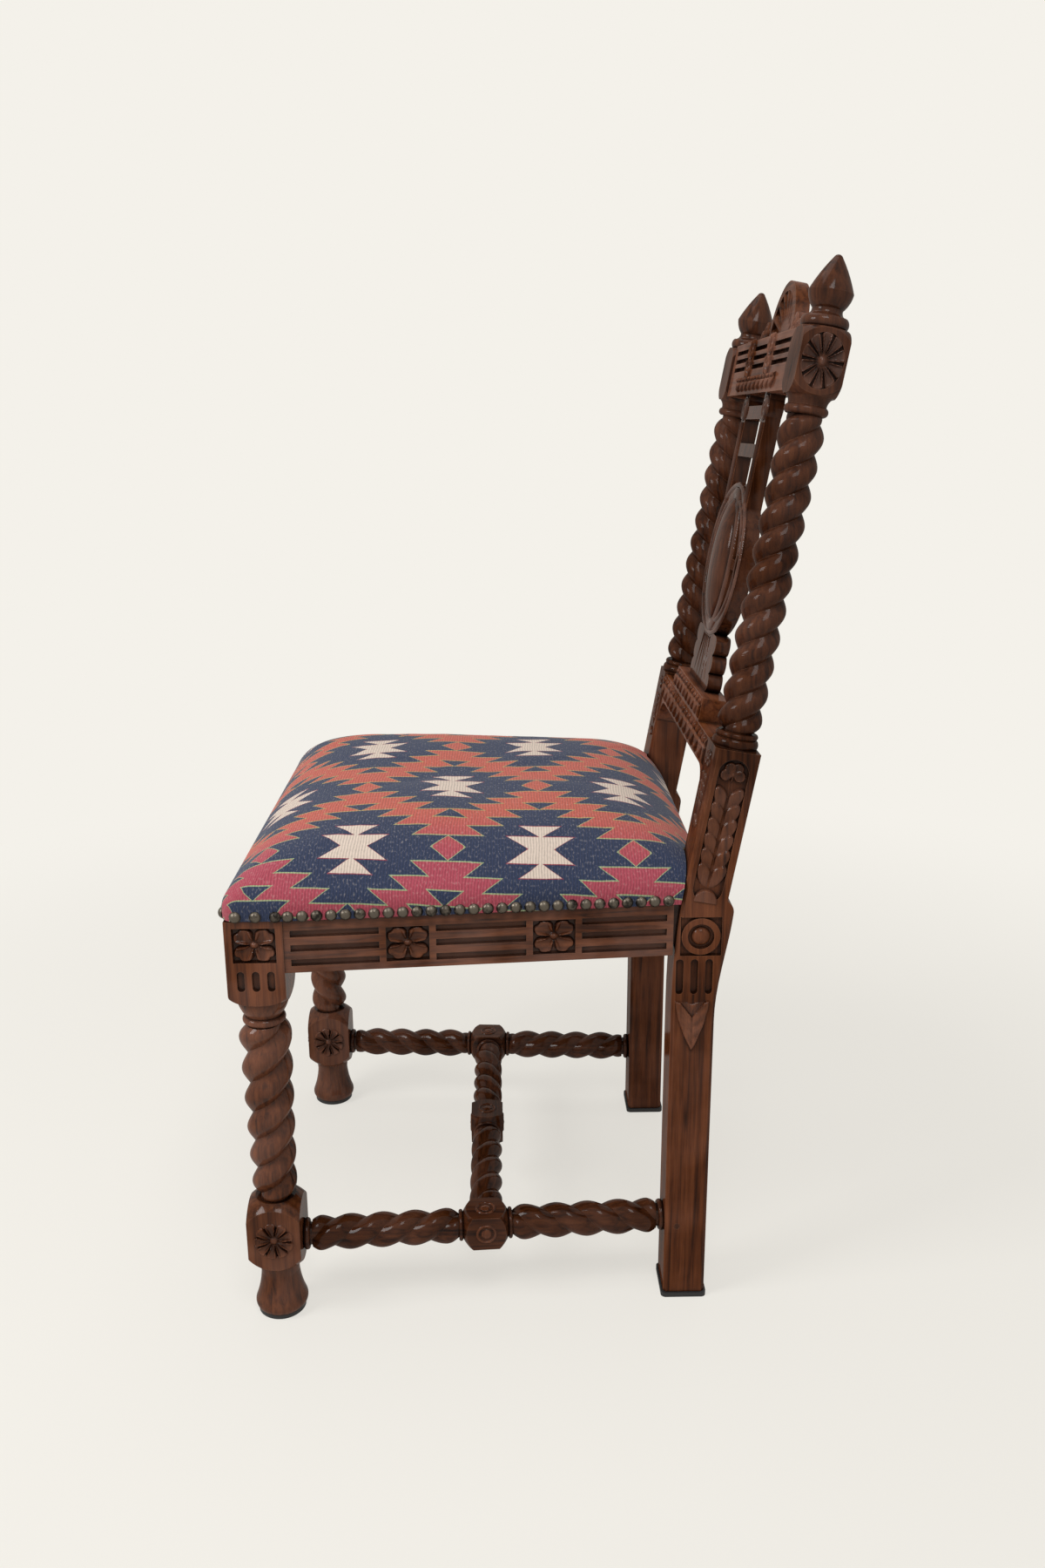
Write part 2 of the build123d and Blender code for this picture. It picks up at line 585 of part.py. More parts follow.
def grooved(shape, start, end, face_plane):
    """Cut a rail's face: flower panels with three grooves in each field between them."""
    length = end - start
    spots = [start + length * (i + 0.83) / (RAIL_FLOWERS + 0.66) for i in range(RAIL_FLOWERS)]
    width = FLOWER_PANEL[0]
    edges = [start, *[spot + side * width / 2 for spot in spots for side in (-1, 1)], end]
    cuts = [face_plane(spot) * sunk_panel() for spot in spots]
    for field_start, field_end in zip(edges[::2], edges[1::2]):
        groove = Box(field_end - field_start - 2 * GROOVE_MARGIN, GROOVE_HEIGHT, 2 * GROOVE_DEPTH)
        middle = (field_start + field_end) / 2
        cuts += [face_plane(middle) * Pos(0, GROOVE_PITCH * i, 0) * groove for i in (-1, 0, 1)]
    return shape - cuts


def side_rail():
    """The left side rail with its tenons and screw holes."""
    plan = make_face(Polyline(
        (side_outer(SIDE_FRONT), SIDE_FRONT), (side_outer(SIDE_REAR), SIDE_REAR),
        (side_inner(SIDE_REAR), SIDE_REAR), (side_inner(SIDE_FRONT), SIDE_FRONT), close=True,
    ))
    rail = Pos(0, 0, RAIL_BOTTOM) * extrude(plan, RAIL_HEIGHT)
    along = Vector(SIDE_SLOPE, 1, 0).normalized()
    out = Vector(along.Y, -along.X, 0)

    def face_plane(y):
        return Plane((side_outer(y), y, GROOVE_CENTRE), x_dir=along, z_dir=out)

    rail = grooved(rail, SIDE_FRONT, SIDE_REAR, face_plane)
    rail = rail + side_tenon(True) + side_tenon(False)
    return rail - [screw(*seat, JOINT_CLEARANCE) for seat in corner_screw_seats() if seat[1] == 0]


def front_rail():
    """The front rail with its tenons and screw holes."""
    rail = span(
        -FRONT_RAIL_END, FRONT_RAIL_END, FRONT_RAIL_FACE, FRONT_RAIL_FACE + RAIL_THICK, RAIL_BOTTOM, RAIL_TOP
    )

    def face_plane(x):
        return Plane((x, FRONT_RAIL_FACE, GROOVE_CENTRE), x_dir=(1, 0, 0), z_dir=(0, -1, 0))

    rail = grooved(rail, -FRONT_RAIL_END, FRONT_RAIL_END, face_plane)
    tenon = cross_tenon(FRONT_RAIL_END, FRONT_RAIL_MIDDLE)
    rail = rail + tenon + mirror(tenon, Plane.YZ)
    holes = [screw(*seat, JOINT_CLEARANCE) for seat in corner_screw_seats() if seat[1] == -90]
    return rail - holes - [mirror(hole, Plane.YZ) for hole in holes]


def back_rail():
    """The plain back rail with its tenons and screw holes."""
    half = RAIL_THICK / 2
    rail = span(
        -BACK_RAIL_END, BACK_RAIL_END, BACK_RAIL_Y - half, BACK_RAIL_Y + half, RAIL_BOTTOM, RAIL_TOP
    )
    tenon = cross_tenon(BACK_RAIL_END, BACK_RAIL_Y)
    rail = rail + tenon + mirror(tenon, Plane.YZ)
    holes = [screw(*seat, JOINT_CLEARANCE) for seat in corner_screw_seats() if seat[1] == 90]
    return rail - holes - [mirror(hole, Plane.YZ) for hole in holes]


def stretcher_half(length, hand):
    """Half a stretcher along Z: neck ring, twist, and a cone into the middle block at its far end."""
    ring = STRETCHER_NECK * 0.7
    collar = turned(
        (0, 0),
        ((STRETCHER_NECK_RADIUS, 0),),
        ((STRETCHER_RING_RADIUS, ring / 2), (STRETCHER_NECK_RADIUS, ring)),
        ((STRETCHER_NECK_RADIUS, STRETCHER_NECK),),
        ((0, STRETCHER_NECK),),
    )
    twist_end = length - STRETCHER_BLOCK_LENGTH / 2 - STRETCHER_CONE - STRETCHER_NECK / 2
    radius = STRETCHER_TWIST_RADIUS
    twist = barley_twist(twist_end - STRETCHER_NECK, radius, radius, STRETCHER_TWIST_RATIO, hand)
    neck = turned(
        (0, twist_end),
        ((STRETCHER_NECK_RADIUS + 2, twist_end),),
        ((STRETCHER_RING_RADIUS, twist_end + STRETCHER_NECK / 4),
         (STRETCHER_NECK_RADIUS + 2, twist_end + STRETCHER_NECK / 2)),
        ((0, twist_end + STRETCHER_NECK / 2),),
    )
    return collar + Pos(0, 0, STRETCHER_NECK) * twist + neck


def stretcher(length, hand):
    """A stretcher along Z: two mirrored twists and a coned block in the middle."""
    half = stretcher_half(length / 2, hand)
    far = Pos(0, 0, length) * mirror(half, Plane.XY)
    block_length = STRETCHER_BLOCK_LENGTH + 2 * STRETCHER_CONE
    block = Pos(0, 0, (length - block_length) / 2) * shouldered_block(
        STRETCHER_BLOCK, STRETCHER_BLOCK, block_length, STRETCHER_CONE + 3, STRETCHER_NECK_RADIUS + 2
    )
    return half, block, far


def side_stretcher():
    """The left side stretcher with its round tenons, a peg hole and the cross stretcher's socket."""
    half, block, far = stretcher(STRETCH_LENGTH, -1)
    half, block, far = STRETCH_PLANE * half, STRETCH_PLANE * block, STRETCH_PLANE * far
    block -= cross_socket(JOINT_CLEARANCE)
    ends = half + round_tenon(True), far + (round_tenon(False) - peg(JOINT_CLEARANCE))
    # the ends of the slanted stretcher are trimmed to the upright faces of the legs
    return trimmed(ends[0], True) + block + trimmed(ends[1], False)


def trimmed(end, front):
    """Cut the slanted collar flush with the leg's face, leaving the round tenon."""
    y = STRETCH_FRONT if front else STRETCH_REAR
    reach = (y - FRONT_BLOCK, y) if front else (y, y + FRONT_BLOCK)
    x = stretcher_x(y)
    waste = span(x - FRONT_BLOCK, x + FRONT_BLOCK, *reach, 0, 2 * STRETCHER_HEIGHT)
    return end - (waste - round_tenon(front))


def cross_socket(gap=0.0):
    """The cross stretcher's left tenon, or its socket with a gap."""
    length = CROSS_TENON_LENGTH + gap
    place = Pos(CROSS_END + length / 2, STRETCH_MIDDLE.Y, STRETCHER_HEIGHT) * Rot(0, 90, 0)
    return place * Cylinder(ROUND_TENON_RADIUS + gap, length)


def cross_stretcher():
    """The cross stretcher, its ends trimmed to the slanted middle blocks of the side stretchers."""
    reach = CROSS_END - STRETCHER_RING_RADIUS * STRETCH_AXIS.X / STRETCH_AXIS.Y
    start = Vector(-reach, STRETCH_MIDDLE.Y, STRETCHER_HEIGHT)
    frame = Plane(start, x_dir=(0, 0, 1), z_dir=(1, 0, 0))
    half, block, far = (frame * piece for piece in stretcher(2 * reach, -1))
    side = STRETCHER_BLOCK
    waste = STRETCH_PLANE * span(-side, side, -side / 2, side, 0, STRETCH_LENGTH)
    far = far - waste + cross_socket()
    half = half - mirror(waste, Plane.YZ) + mirror(cross_socket(), Plane.YZ)
    return half + block + far


def post_inner(along):
    """The left upper block's inner face across the back, at a distance up the rake."""
    return REAR_X - (along - PANEL_END) * tan(LEAN) - POST_WIDTH / 2 / cos(LEAN)


def back_box(x0, x1, y0, y1, z0, z1):
    """A box in the back's own plane."""
    return BACK * span(x0, x1, y0, y1, z0, z1)


def back_tenon_depth(front, thick, gap):
    """The span of a tenon through the thickness of a back rail."""
    middle = front - thick / 2
    return middle - BACK_TENON[1] / 2 - gap, middle + BACK_TENON[1] / 2 + gap


def crest_tenon(gap=0.0):
    """The crest rail's left tenon."""
    depth = back_tenon_depth(CREST_FRONT, CREST_THICK, gap)
    inner = post_inner(CREST_TOP)
    return back_box(
        inner - BACK_TENON[0] / 2, inner + BACK_TENON[0] + gap,
        CREST_BOTTOM + TENON_SHOULDER - gap, CREST_TOP - DOWEL_LENGTH - TENON_SHOULDER / 2 + gap, *depth,
    )


def lower_rail_tenon(gap=0.0):
    """The lower back rail's left tenon."""
    depth = back_tenon_depth(LOWER_RAIL_FRONT, LOWER_RAIL_THICK, gap)
    return back_box(
        BACK_RAIL_END - BACK_TENON[0] / 2, BACK_RAIL_END + BACK_TENON[0] + gap,
        LOWER_TIER_BOTTOM + TENON_SHOULDER / 2 - gap, LOWER_TIER_TOP - TENON_SHOULDER / 2 + gap, *depth,
    )


def crest_rail():
    """The slotted crest rail with its tenons and a groove for the pediment."""
    bottom, top = post_inner(CREST_BOTTOM), post_inner(CREST_TOP)
    outline = make_face(Polyline(
        (-bottom, CREST_BOTTOM), (bottom, CREST_BOTTOM), (top, CREST_TOP), (-top, CREST_TOP), close=True
    ))
    rail = Pos(0, 0, CREST_FRONT - CREST_THICK) * extrude(outline, CREST_THICK)
    column = CREST_FLOWER_SPACING / 2
    half = CREST_FLOWER_WIDTH / 2
    ends = top - CREST_END_MARGIN
    fields = [(-ends, -column - half), (-column + half, column - half), (column + half, ends)]
    for field_start, field_end in fields:
        for row in range(3):
            y = CREST_TOP - CREST_SLOT_TOP - CREST_SLOT_PITCH * row
            rail -= span(
                field_start, field_end, y - CREST_SLOT / 2, y + CREST_SLOT / 2,
                CREST_FRONT - CREST_SLOT_DEPTH, CREST_FRONT,
            )
    tenon = crest_tenon()
    rail = BACK * rail - pediment_tongue(JOINT_CLEARANCE)
    rail -= splat_tenons(True, JOINT_CLEARANCE)
    return rail + tenon + mirror(tenon, Plane.YZ)


def pediment_tongue(gap=0.0):
    """The tongue under the pediment."""
    middle = ARCH_FRONT - ARCH_THICK / 2
    return back_box(
        -ARCH_RADIUS - gap, ARCH_RADIUS + gap, CREST_TOP - TONGUE_DEPTH - gap, CREST_TOP,
        middle - ARCH_THICK / 5 - gap, middle + ARCH_THICK / 5 + gap,
    )


def crest_pediment():
    """The round-headed fan on the crest rail: a rim, sunk ribs and stepped scrolls beside it."""
    back = ARCH_FRONT - ARCH_THICK
    above = Pos(0, ARCH_RADIUS) * Rectangle(4 * ARCH_RADIUS, 2 * ARCH_RADIUS)
    arch = Circle(ARCH_RADIUS) & above
    fan = Circle(ARCH_RADIUS - ARCH_RIM) & above
    inner_scroll, outer_scroll = SCROLL_RADII
    inner_x = ARCH_RADIUS + inner_scroll * 0.9
    outer_x = inner_x + inner_scroll + outer_scroll * 0.7
    scrolls = Sketch() + [
        Pos(side * x, radius) * Circle(radius)
        for side in (-1, 1) for x, radius in ((inner_x, inner_scroll), (outer_x, outer_scroll))
    ]
    strip_height = outer_scroll * 0.8
    strip = Pos(0, strip_height / 2) * Rectangle(2 * outer_x, strip_height)
    shape = Pos(0, 0, back) * extrude(arch + scrolls + strip, ARCH_THICK)
    shape -= Pos(0, 0, ARCH_FRONT - ARCH_SINK) * extrude(fan, ARCH_SINK)
    rib_length = ARCH_RADIUS - ARCH_RIM
    rib_radius = pi * rib_length / FAN_RIBS / 2 * 0.92
    rib = Pos(0, rib_length / 2, 0) * Rot(-90, 0, 0) * Cone(0.5, rib_radius, rib_length)
    ground = ARCH_FRONT - ARCH_SINK
    room = Pos(0, 0, ground - 1) * extrude(fan, ARCH_SINK + 1)
    for i in range(FAN_RIBS):
        turn = 180 * (i + 0.5) / FAN_RIBS - 90
        flattened = Pos(0, 0, ground - rib_radius * 0.45) * Rot(0, 0, turn) * rib
        shape += flattened & room
    boss = Pos(0, 0, ground) * dome(ARCH_RIM, ARCH_SINK)
    shape += boss & room
    return BACK * Pos(0, CREST_TOP, 0) * shape + pediment_tongue()


def splat_tenons(top, gap=0.0):
    """The stub tenons at the top of the splat's stiles, or the one under its pedestal."""
    middle = SPLAT_FRONT - SPLAT_THICK / 2
    depth = middle - SPLAT_THICK / 4 - gap, middle + SPLAT_THICK / 4 + gap
    half = STILE_WIDTH / 4 + gap
    reach = TONGUE_DEPTH + gap
    if top:
        return [
            back_box(x - half, x + half, CREST_BOTTOM, CREST_BOTTOM + reach, *depth)
            for x in (-STILE_SPACING / 2, STILE_SPACING / 2)
        ]
    wide = PEDESTAL_WIDTH / 4 + gap
    return [back_box(-wide, wide, SPLAT_BOTTOM - reach, SPLAT_BOTTOM, *depth)]


def back_splat():
    """The pierced splat: scalloped pedestal, strapwork oval with a boss, and stiles with cross bars."""
    strap_x, strap_y = STRAP_RADII
    oval_y = SPLAT_BOTTOM + PEDESTAL_HEIGHT + strap_y * 0.94
    lobe = PEDESTAL_HEIGHT / PEDESTAL_LOBES / 2
    pedestal = Pos(0, SPLAT_BOTTOM + PEDESTAL_HEIGHT / 2) * Rectangle(PEDESTAL_WIDTH, PEDESTAL_HEIGHT)
    lobes = [
        Pos(side * PEDESTAL_WIDTH / 2, SPLAT_BOTTOM + lobe * (2 * i + 1)) * Circle(lobe)
        for side in (-1, 1) for i in range(PEDESTAL_LOBES)
    ]
    band = Ellipse(strap_x, strap_y) - Ellipse(strap_x - STRAP_WIDTH, strap_y - STRAP_WIDTH)
    bridges = Rectangle(2 * (strap_x - STRAP_WIDTH / 2), STRAP_WIDTH * 0.6)
    oval = Pos(0, oval_y) * (band + Ellipse(*OVAL_RADII) + bridges)
    stile_bottom = oval_y + strap_y * 0.62
    stile_length = CREST_BOTTOM - stile_bottom
    stile_x = STILE_SPACING / 2
    stiles = []
    for side in (-1, 1):
        stiles.append(Pos(side * stile_x, stile_bottom + stile_length / 2) * Rectangle(STILE_WIDTH, stile_length))
        stiles.append(Pos(side * stile_x, CREST_BOTTOM - STILE_KNOB_RADIUS) * Circle(STILE_KNOB_RADIUS))
    bar_y = CREST_BOTTOM - BAR_GAP + BAR_HEIGHT / 2
    bars = [
        Pos(0, bar_y - (BAR_GAP + BAR_HEIGHT) * i) * Rectangle(STILE_SPACING, BAR_HEIGHT) for i in range(2)
    ]
    outline = pedestal + lobes + oval + stiles + bars
    shape = Pos(0, 0, SPLAT_FRONT - SPLAT_THICK) * extrude(outline, SPLAT_THICK)
    boss_x, boss_y, boss_z = BOSS_RADII
    boss = scale(Sphere(1), (boss_x, boss_y, boss_z)) & span(-boss_x, boss_x, -boss_y, boss_y, 0, boss_z)
    shape += Pos(0, oval_y, SPLAT_FRONT) * boss
    fan_top = SPLAT_BOTTOM + PEDESTAL_HEIGHT * 0.94
    for i in range(-2, 3):
        groove = Pos(0, -PEDESTAL_HEIGHT * 0.44, 0) * Rot(90, 0, 0) * Cone(4.2, 1.4, PEDESTAL_HEIGHT * 0.8)
        shape -= Pos(i * PEDESTAL_WIDTH * 0.08, fan_top, SPLAT_FRONT + 1) * Rot(0, 0, i * 11) * groove
    shape = BACK * shape
    for tenon in splat_tenons(True) + splat_tenons(False):
        shape += tenon
    return shape


def lower_back_rail():
    """The two-tier lower back rail, with small brackets under its ends."""
    end = BACK_RAIL_END
    tier = Pos(0, (LOWER_TIER_BOTTOM + LOWER_TIER_TOP) / 2) * Rectangle(2 * end, LOWER_TIER_HEIGHT)
    upper = Pos(0, LOWER_TIER_TOP + UPPER_TIER_HEIGHT / 2) * Rectangle(UPPER_TIER_WIDTH, UPPER_TIER_HEIGHT)
    outline = tier + upper
    radius = BRACKET_RADIUS
    for side in (-1, 1):
        corner = Pos(side * (end - radius / 2), LOWER_TIER_BOTTOM - radius / 2) * Rectangle(radius, radius)
        outline += corner - Pos(side * (end - radius), LOWER_TIER_BOTTOM - radius) * Circle(radius)
    rail = Pos(0, 0, LOWER_RAIL_FRONT - LOWER_RAIL_THICK) * extrude(outline, LOWER_RAIL_THICK)
    rail = BACK * rail
    for socket in splat_tenons(False, JOINT_CLEARANCE):
        rail -= socket
    tenon = lower_rail_tenon()
    return rail + tenon + mirror(tenon, Plane.YZ)


def corner_block(front):
    """A left glue block in the seat frame, notched round the leg, with counterbored screws."""
    if front:
        rail_face, leg_x, leg_y, away = FRONT_RAIL_FACE + RAIL_THICK, FRONT_RAIL_END, SIDE_FRONT, 1
    else:
        rail_face, leg_x, leg_y, away = BACK_RAIL_Y - RAIL_THICK / 2, BACK_RAIL_END, SIDE_REAR, -1
    far_y = leg_y + away * CORNER_REACH
    plan = make_face(Polyline(
        (leg_x - CORNER_REACH, rail_face), (leg_x, rail_face), (leg_x, leg_y), (side_inner(leg_y), leg_y),
        (side_inner(far_y), far_y), close=True,
    ))
    shape = Pos(0, 0, CORNER_BLOCK_TOP - CORNER_BLOCK_HEIGHT) * extrude(plan, CORNER_BLOCK_HEIGHT)
    for place, facing in corner_screw_seats(front):
        shape -= screw(place, facing, JOINT_CLEARANCE, CORNER_REACH)
    return shape


def corner_screw_seats(*fronts):
    """Where the left screws' heads seat, and the way they point in plan."""
    z = CORNER_BLOCK_TOP - CORNER_BLOCK_HEIGHT / 2
    seats = []
    for front in fronts or (True, False):
        rail_face = FRONT_RAIL_FACE + RAIL_THICK if front else BACK_RAIL_Y - RAIL_THICK / 2
        away = 1 if front else -1
        leg_x = FRONT_RAIL_END if front else BACK_RAIL_END
        leg_y = SIDE_FRONT if front else SIDE_REAR
        y = leg_y + away * CORNER_REACH * 0.35
        seats.append(((leg_x - CORNER_REACH * 0.3, rail_face + away * SCREW_GRIP, z), -90 * away))
        seats.append(((side_inner(y) - SCREW_GRIP, y, z), 0))
    return seats


def screw(place, facing, gap=0.0, counterbore=0.0):
    """A round-head screw with its head's underside at a place, or its hole with a gap."""
    angle = radians(facing)
    shank = SCREW_GRIP + SCREW_BITE + gap
    head = SCREW_HEAD + counterbore
    shape = Pos(0, 0, shank / 2) * Cylinder(SCREW_RADIUS + gap, shank)
    shape += Pos(0, 0, -head / 2) * Cylinder(SCREW_HEAD_RADIUS + gap, head)
    return on_face(shape, *place, angle)


def corner_screws():
    """All the screws of the corner blocks."""
    left = [screw(place, facing) for place, facing in corner_screw_seats()]
    return left + [mirror(one, Plane.YZ) for one in left]


def joint_pegs():
    """One peg on each side."""
    return [peg(), mirror(peg(), Plane.YZ)]


def webbing_lengthwise():
    """Straps from the front rail to the back rail, on top of the seat frame."""
    start, end = FRONT_RAIL_FACE + RAIL_THICK / 4, BACK_RAIL_Y + RAIL_THICK / 4
    pitch = 2 * BACK_RAIL_END / STRAPS_LENGTHWISE
    return [
        span(x - STRAP_CLOTH_WIDTH / 2, x + STRAP_CLOTH_WIDTH / 2, start, end, RAIL_TOP, RAIL_TOP + STRAP_THICK)
        for x in (pitch * (i - (STRAPS_LENGTHWISE - 1) / 2) for i in range(STRAPS_LENGTHWISE))
    ]


def webbing_crosswise():
    """Straps from side rail to side rail, over the lengthwise straps."""
    start, end = SIDE_FRONT, SIDE_REAR
    pitch = (end - start) / STRAPS_CROSSWISE
    bottom = RAIL_TOP + STRAP_THICK
    straps = []
    for i in range(STRAPS_CROSSWISE):
        y = start + pitch * (i + 0.5)
        reach = side_outer(y + STRAP_CLOTH_WIDTH / 2) - RAIL_THICK / 4
        straps.append(span(
            -reach, reach, y - STRAP_CLOTH_WIDTH / 2, y + STRAP_CLOTH_WIDTH / 2, bottom, bottom + STRAP_THICK
        ))
    return straps


def seat_outline(inset, corner):
    """The seat's plan, drawn in by an inset from the cover's outer face at its edge."""
    front_x = FRONT_X + FRONT_FACE + COVER_THICK - inset
    rear = SEAT_REAR + COVER_THICK - inset
    rear_x = SIDE_REAR_X + RAIL_SETBACK + COVER_THICK - inset + SIDE_SLOPE * (rear - SIDE_REAR)
    front = FRONT_Y - FRONT_FACE - COVER_THICK + inset
    bend = max(SIDE_FRONT, front + 2 * corner)
    right = [(front_x, front), (front_x, bend), (rear_x, rear)]
    left = [(-x, y) for x, y in reversed(right)]
    face = make_face(Polyline(*right, *left, close=True))
    corners = [v for v in face.vertices() if abs(v.Y - bend) > 1e-6]
    return fillet(corners, corner)


def cushion(inset):
    """A crowned cushion on the seat line, drawn in at its edge and full above it."""
    top = CROWN_HEIGHT - inset
    sections = []
    for i in range(CROWN_STEPS + 1):
        angle = pi / 2 * i / CROWN_STEPS
        draw = CROWN_INSET * (1 - cos(angle)) ** 1.6 - EDGE_BULGE * sin(2 * angle)
        corner = SEAT_CORNER - inset + CROWN_CORNER * (1 - cos(angle))
        sections.append(Pos(0, 0, SEAT_LINE + top * sin(angle)) * seat_outline(inset + draw, corner))
    return loft(sections, ruled=True)


def post_notch():
    """The room that the left post takes at the seat's rear corner, with a gap."""
    half = POST_DEPTH / 2 + POST_GAP
    inner = BACK_RAIL_END - POST_GAP
    return BACK * span(inner, inner + 2 * POST_WIDTH, -PANEL_END, PANEL_END, -2 * POST_WIDTH, half)


def without_posts(shape):
    """Cut both rear corners of a seat layer round the posts."""
    notch = post_notch()
    return shape - notch - mirror(notch, Plane.YZ)


def seat_hessian():
    """Sacking stretched over the webbing."""
    bottom = SEAT_LINE - HESSIAN_THICK
    sheet = Pos(0, 0, bottom) * extrude(seat_outline(COVER_THICK + HESSIAN_MARGIN, SEAT_CORNER), HESSIAN_THICK)
    return without_posts(sheet)


def seat_pad():
    """The stuffing."""
    return without_posts(cushion(COVER_THICK + PAD_CLEARANCE))


def seat_cover():
    """The cover: a crowned shell with a lap that hangs over the rails."""
    shell = cushion(0) - cushion(COVER_THICK)
    lap = extrude(seat_outline(0, SEAT_CORNER), COVER_LAP)
    lap -= extrude(seat_outline(COVER_THICK, SEAT_CORNER - COVER_THICK), COVER_LAP)
    shape = shell + Pos(0, 0, SEAT_LINE - COVER_LAP) * lap
    return without_posts(shape)


def upholstery_nails():
    """Domed nails along the cover's lap at the sides and the front."""
    z = SEAT_LINE - NAIL_DROP
    nail = dome(NAIL_RADIUS, NAIL_DOME)
    side_x = FRONT_X + FRONT_FACE + COVER_THICK
    front = FRONT_Y - FRONT_FACE - COVER_THICK
    rear = SIDE_REAR - NAIL_RADIUS
    rear_x = side_x + SIDE_SLOPE * (rear - SIDE_FRONT)
    nails = []
    for start, end in (
        ((-side_x + SEAT_CORNER, front), (side_x - SEAT_CORNER, front)),
        ((side_x, front + SEAT_CORNER), (side_x, SIDE_FRONT - NAIL_RADIUS)),
        ((side_x + SIDE_SLOPE * NAIL_RADIUS, SIDE_FRONT + NAIL_RADIUS), (rear_x, rear)),
    ):
        run = Vector(end[0] - start[0], end[1] - start[1], 0)
        count = int(run.length / NAIL_PITCH)
        facing = atan2(run.Y, run.X) - pi / 2
        for i in range(count + 1):
            place = Vector(start[0], start[1], z) + run * (i / count)
            nails.append(on_face(nail, place.X, place.Y, z, facing))
            if start[0] > 0:
                nails.append(mirror(nails[-1], Plane.YZ))
    return nails


def glide_nail(x, y, gap=0.0):
    """The nail that holds a glide, or its hole with a gap."""
    length = GLIDE_NAIL_LENGTH + gap
    return Pos(x, y, GLIDE_HEIGHT / 2 + length / 2) * Cylinder(GLIDE_NAIL_RADIUS + gap, length)


def front_glide():
    """The left front glide, round."""
    disc = Pos(0, 0, GLIDE_HEIGHT / 2) * Cylinder(FOOT_BASE_RADIUS, GLIDE_HEIGHT)
    disc = chamfer(disc.edges().sort_by(Axis.Z)[0], GLIDE_HEIGHT / 5)
    return Pos(FRONT_X, FRONT_Y, 0) * disc - glide_nail(FRONT_X, FRONT_Y, JOINT_CLEARANCE)


def rear_glide():
    """The left rear glide, square."""
    pad = extrude(
        RectangleRounded(POST_WIDTH + 2 * GLIDE_LIP, POST_DEPTH + 2 * GLIDE_LIP, GLIDE_CORNER), GLIDE_HEIGHT
    )
    return Pos(REAR_X, REAR_Y, 0) * pad - glide_nail(REAR_X, REAR_Y, JOINT_CLEARANCE)


def glide_nails():
    """A nail in each glide."""
    left = [glide_nail(FRONT_X, FRONT_Y), glide_nail(REAR_X, REAR_Y)]
    return left + [mirror(one, Plane.YZ) for one in left]


paired = {
    "front_leg": front_leg(),
    "rear_post": rear_post(),
    "finial": finial(),
    "side_rail": side_rail(),
    "side_stretcher": side_stretcher(),
    "corner_block_front": corner_block(True),
    "corner_block_rear": corner_block(False),
    "foot_glide_front": front_glide(),
    "foot_glide_rear": rear_glide(),
}
single = {
    "front_rail": front_rail(),
    "back_rail": back_rail(),
    "cross_stretcher": cross_stretcher(),
    "crest_rail": crest_rail(),
    "crest_pediment": crest_pediment(),
    "back_splat": back_splat(),
    "lower_back_rail": lower_back_rail(),
    "corner_screws": corner_screws(),
    "joint_pegs": joint_pegs(),
    "webbing_lengthwise": webbing_lengthwise(),
    "webbing_crosswise": webbing_crosswise(),
    "seat_hessian": seat_hessian(),
    "seat_pad": seat_pad(),
    "seat_cover": seat_cover(),
    "upholstery_nails": upholstery_nails(),
    "glide_nails": glide_nails(),
}
nodes = dict(single)
for name, left in paired.items():
    nodes[name + "_left"] = left
    nodes[name + "_right"] = mirror(left, Plane.YZ)

solids = {
    name: [solid for shape in (made if isinstance(made, list) else [made]) for solid in shape.solids()]
    for name, made in nodes.items()
}

# The origin lies on the floor under the middle of the chair's box
chair_box = Compound([solid for group in solids.values() for solid in group]).bounding_box()
centre = Pos(0, -(chair_box.min.Y + chair_box.max.Y) / 2, 0)
for name, group in solids.items():
    moved = [centre * solid for solid in group]
    export_step(moved[0] if len(moved) == 1 else Compound(moved), f"parts/{name}.step")
print(f"{len(solids)} nodes, legs' middle at y = {centre.position.Y:.3f}")
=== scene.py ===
"""Carved side chair: woods, woven seat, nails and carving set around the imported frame."""
from math import atan2, cos, pi, radians, sin, sqrt, tan

import bmesh
import bpy
import numpy as np
from bpy.props import FloatProperty, FloatVectorProperty, PointerProperty
from mathutils import Matrix, Vector


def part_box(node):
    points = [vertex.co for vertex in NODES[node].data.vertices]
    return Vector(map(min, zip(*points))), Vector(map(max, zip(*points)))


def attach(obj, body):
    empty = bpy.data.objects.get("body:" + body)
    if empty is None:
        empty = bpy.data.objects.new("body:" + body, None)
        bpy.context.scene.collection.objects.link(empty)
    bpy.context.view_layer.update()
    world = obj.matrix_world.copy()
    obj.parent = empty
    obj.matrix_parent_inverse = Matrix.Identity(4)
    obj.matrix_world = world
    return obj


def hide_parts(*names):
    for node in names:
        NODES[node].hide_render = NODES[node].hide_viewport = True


bl_info = {
    "name": "Carved side chair",
    "version": (1, 0, 0),
    "blender": (4, 5, 0),
    "location": "View3D > Sidebar > Chair",
    "description": "Dresses the chair's frame with wood, a flat-woven seat, nails and carving",
    "category": "Object",
}

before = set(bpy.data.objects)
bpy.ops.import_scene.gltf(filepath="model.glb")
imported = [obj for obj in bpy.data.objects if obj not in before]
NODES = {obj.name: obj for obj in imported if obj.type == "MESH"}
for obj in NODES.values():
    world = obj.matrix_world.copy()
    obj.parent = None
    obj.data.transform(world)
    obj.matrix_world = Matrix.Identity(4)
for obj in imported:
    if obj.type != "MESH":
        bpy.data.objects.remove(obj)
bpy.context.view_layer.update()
MM = 0.001


def linear(code):
    """Turn an sRGB hex colour into linear red, green and blue."""
    parts = [int(code[i:i + 2], 16) / 255 for i in (1, 3, 5)]
    return tuple(c / 12.92 if c <= 0.04045 else ((c + 0.055) / 1.055) ** 2.4 for c in parts)


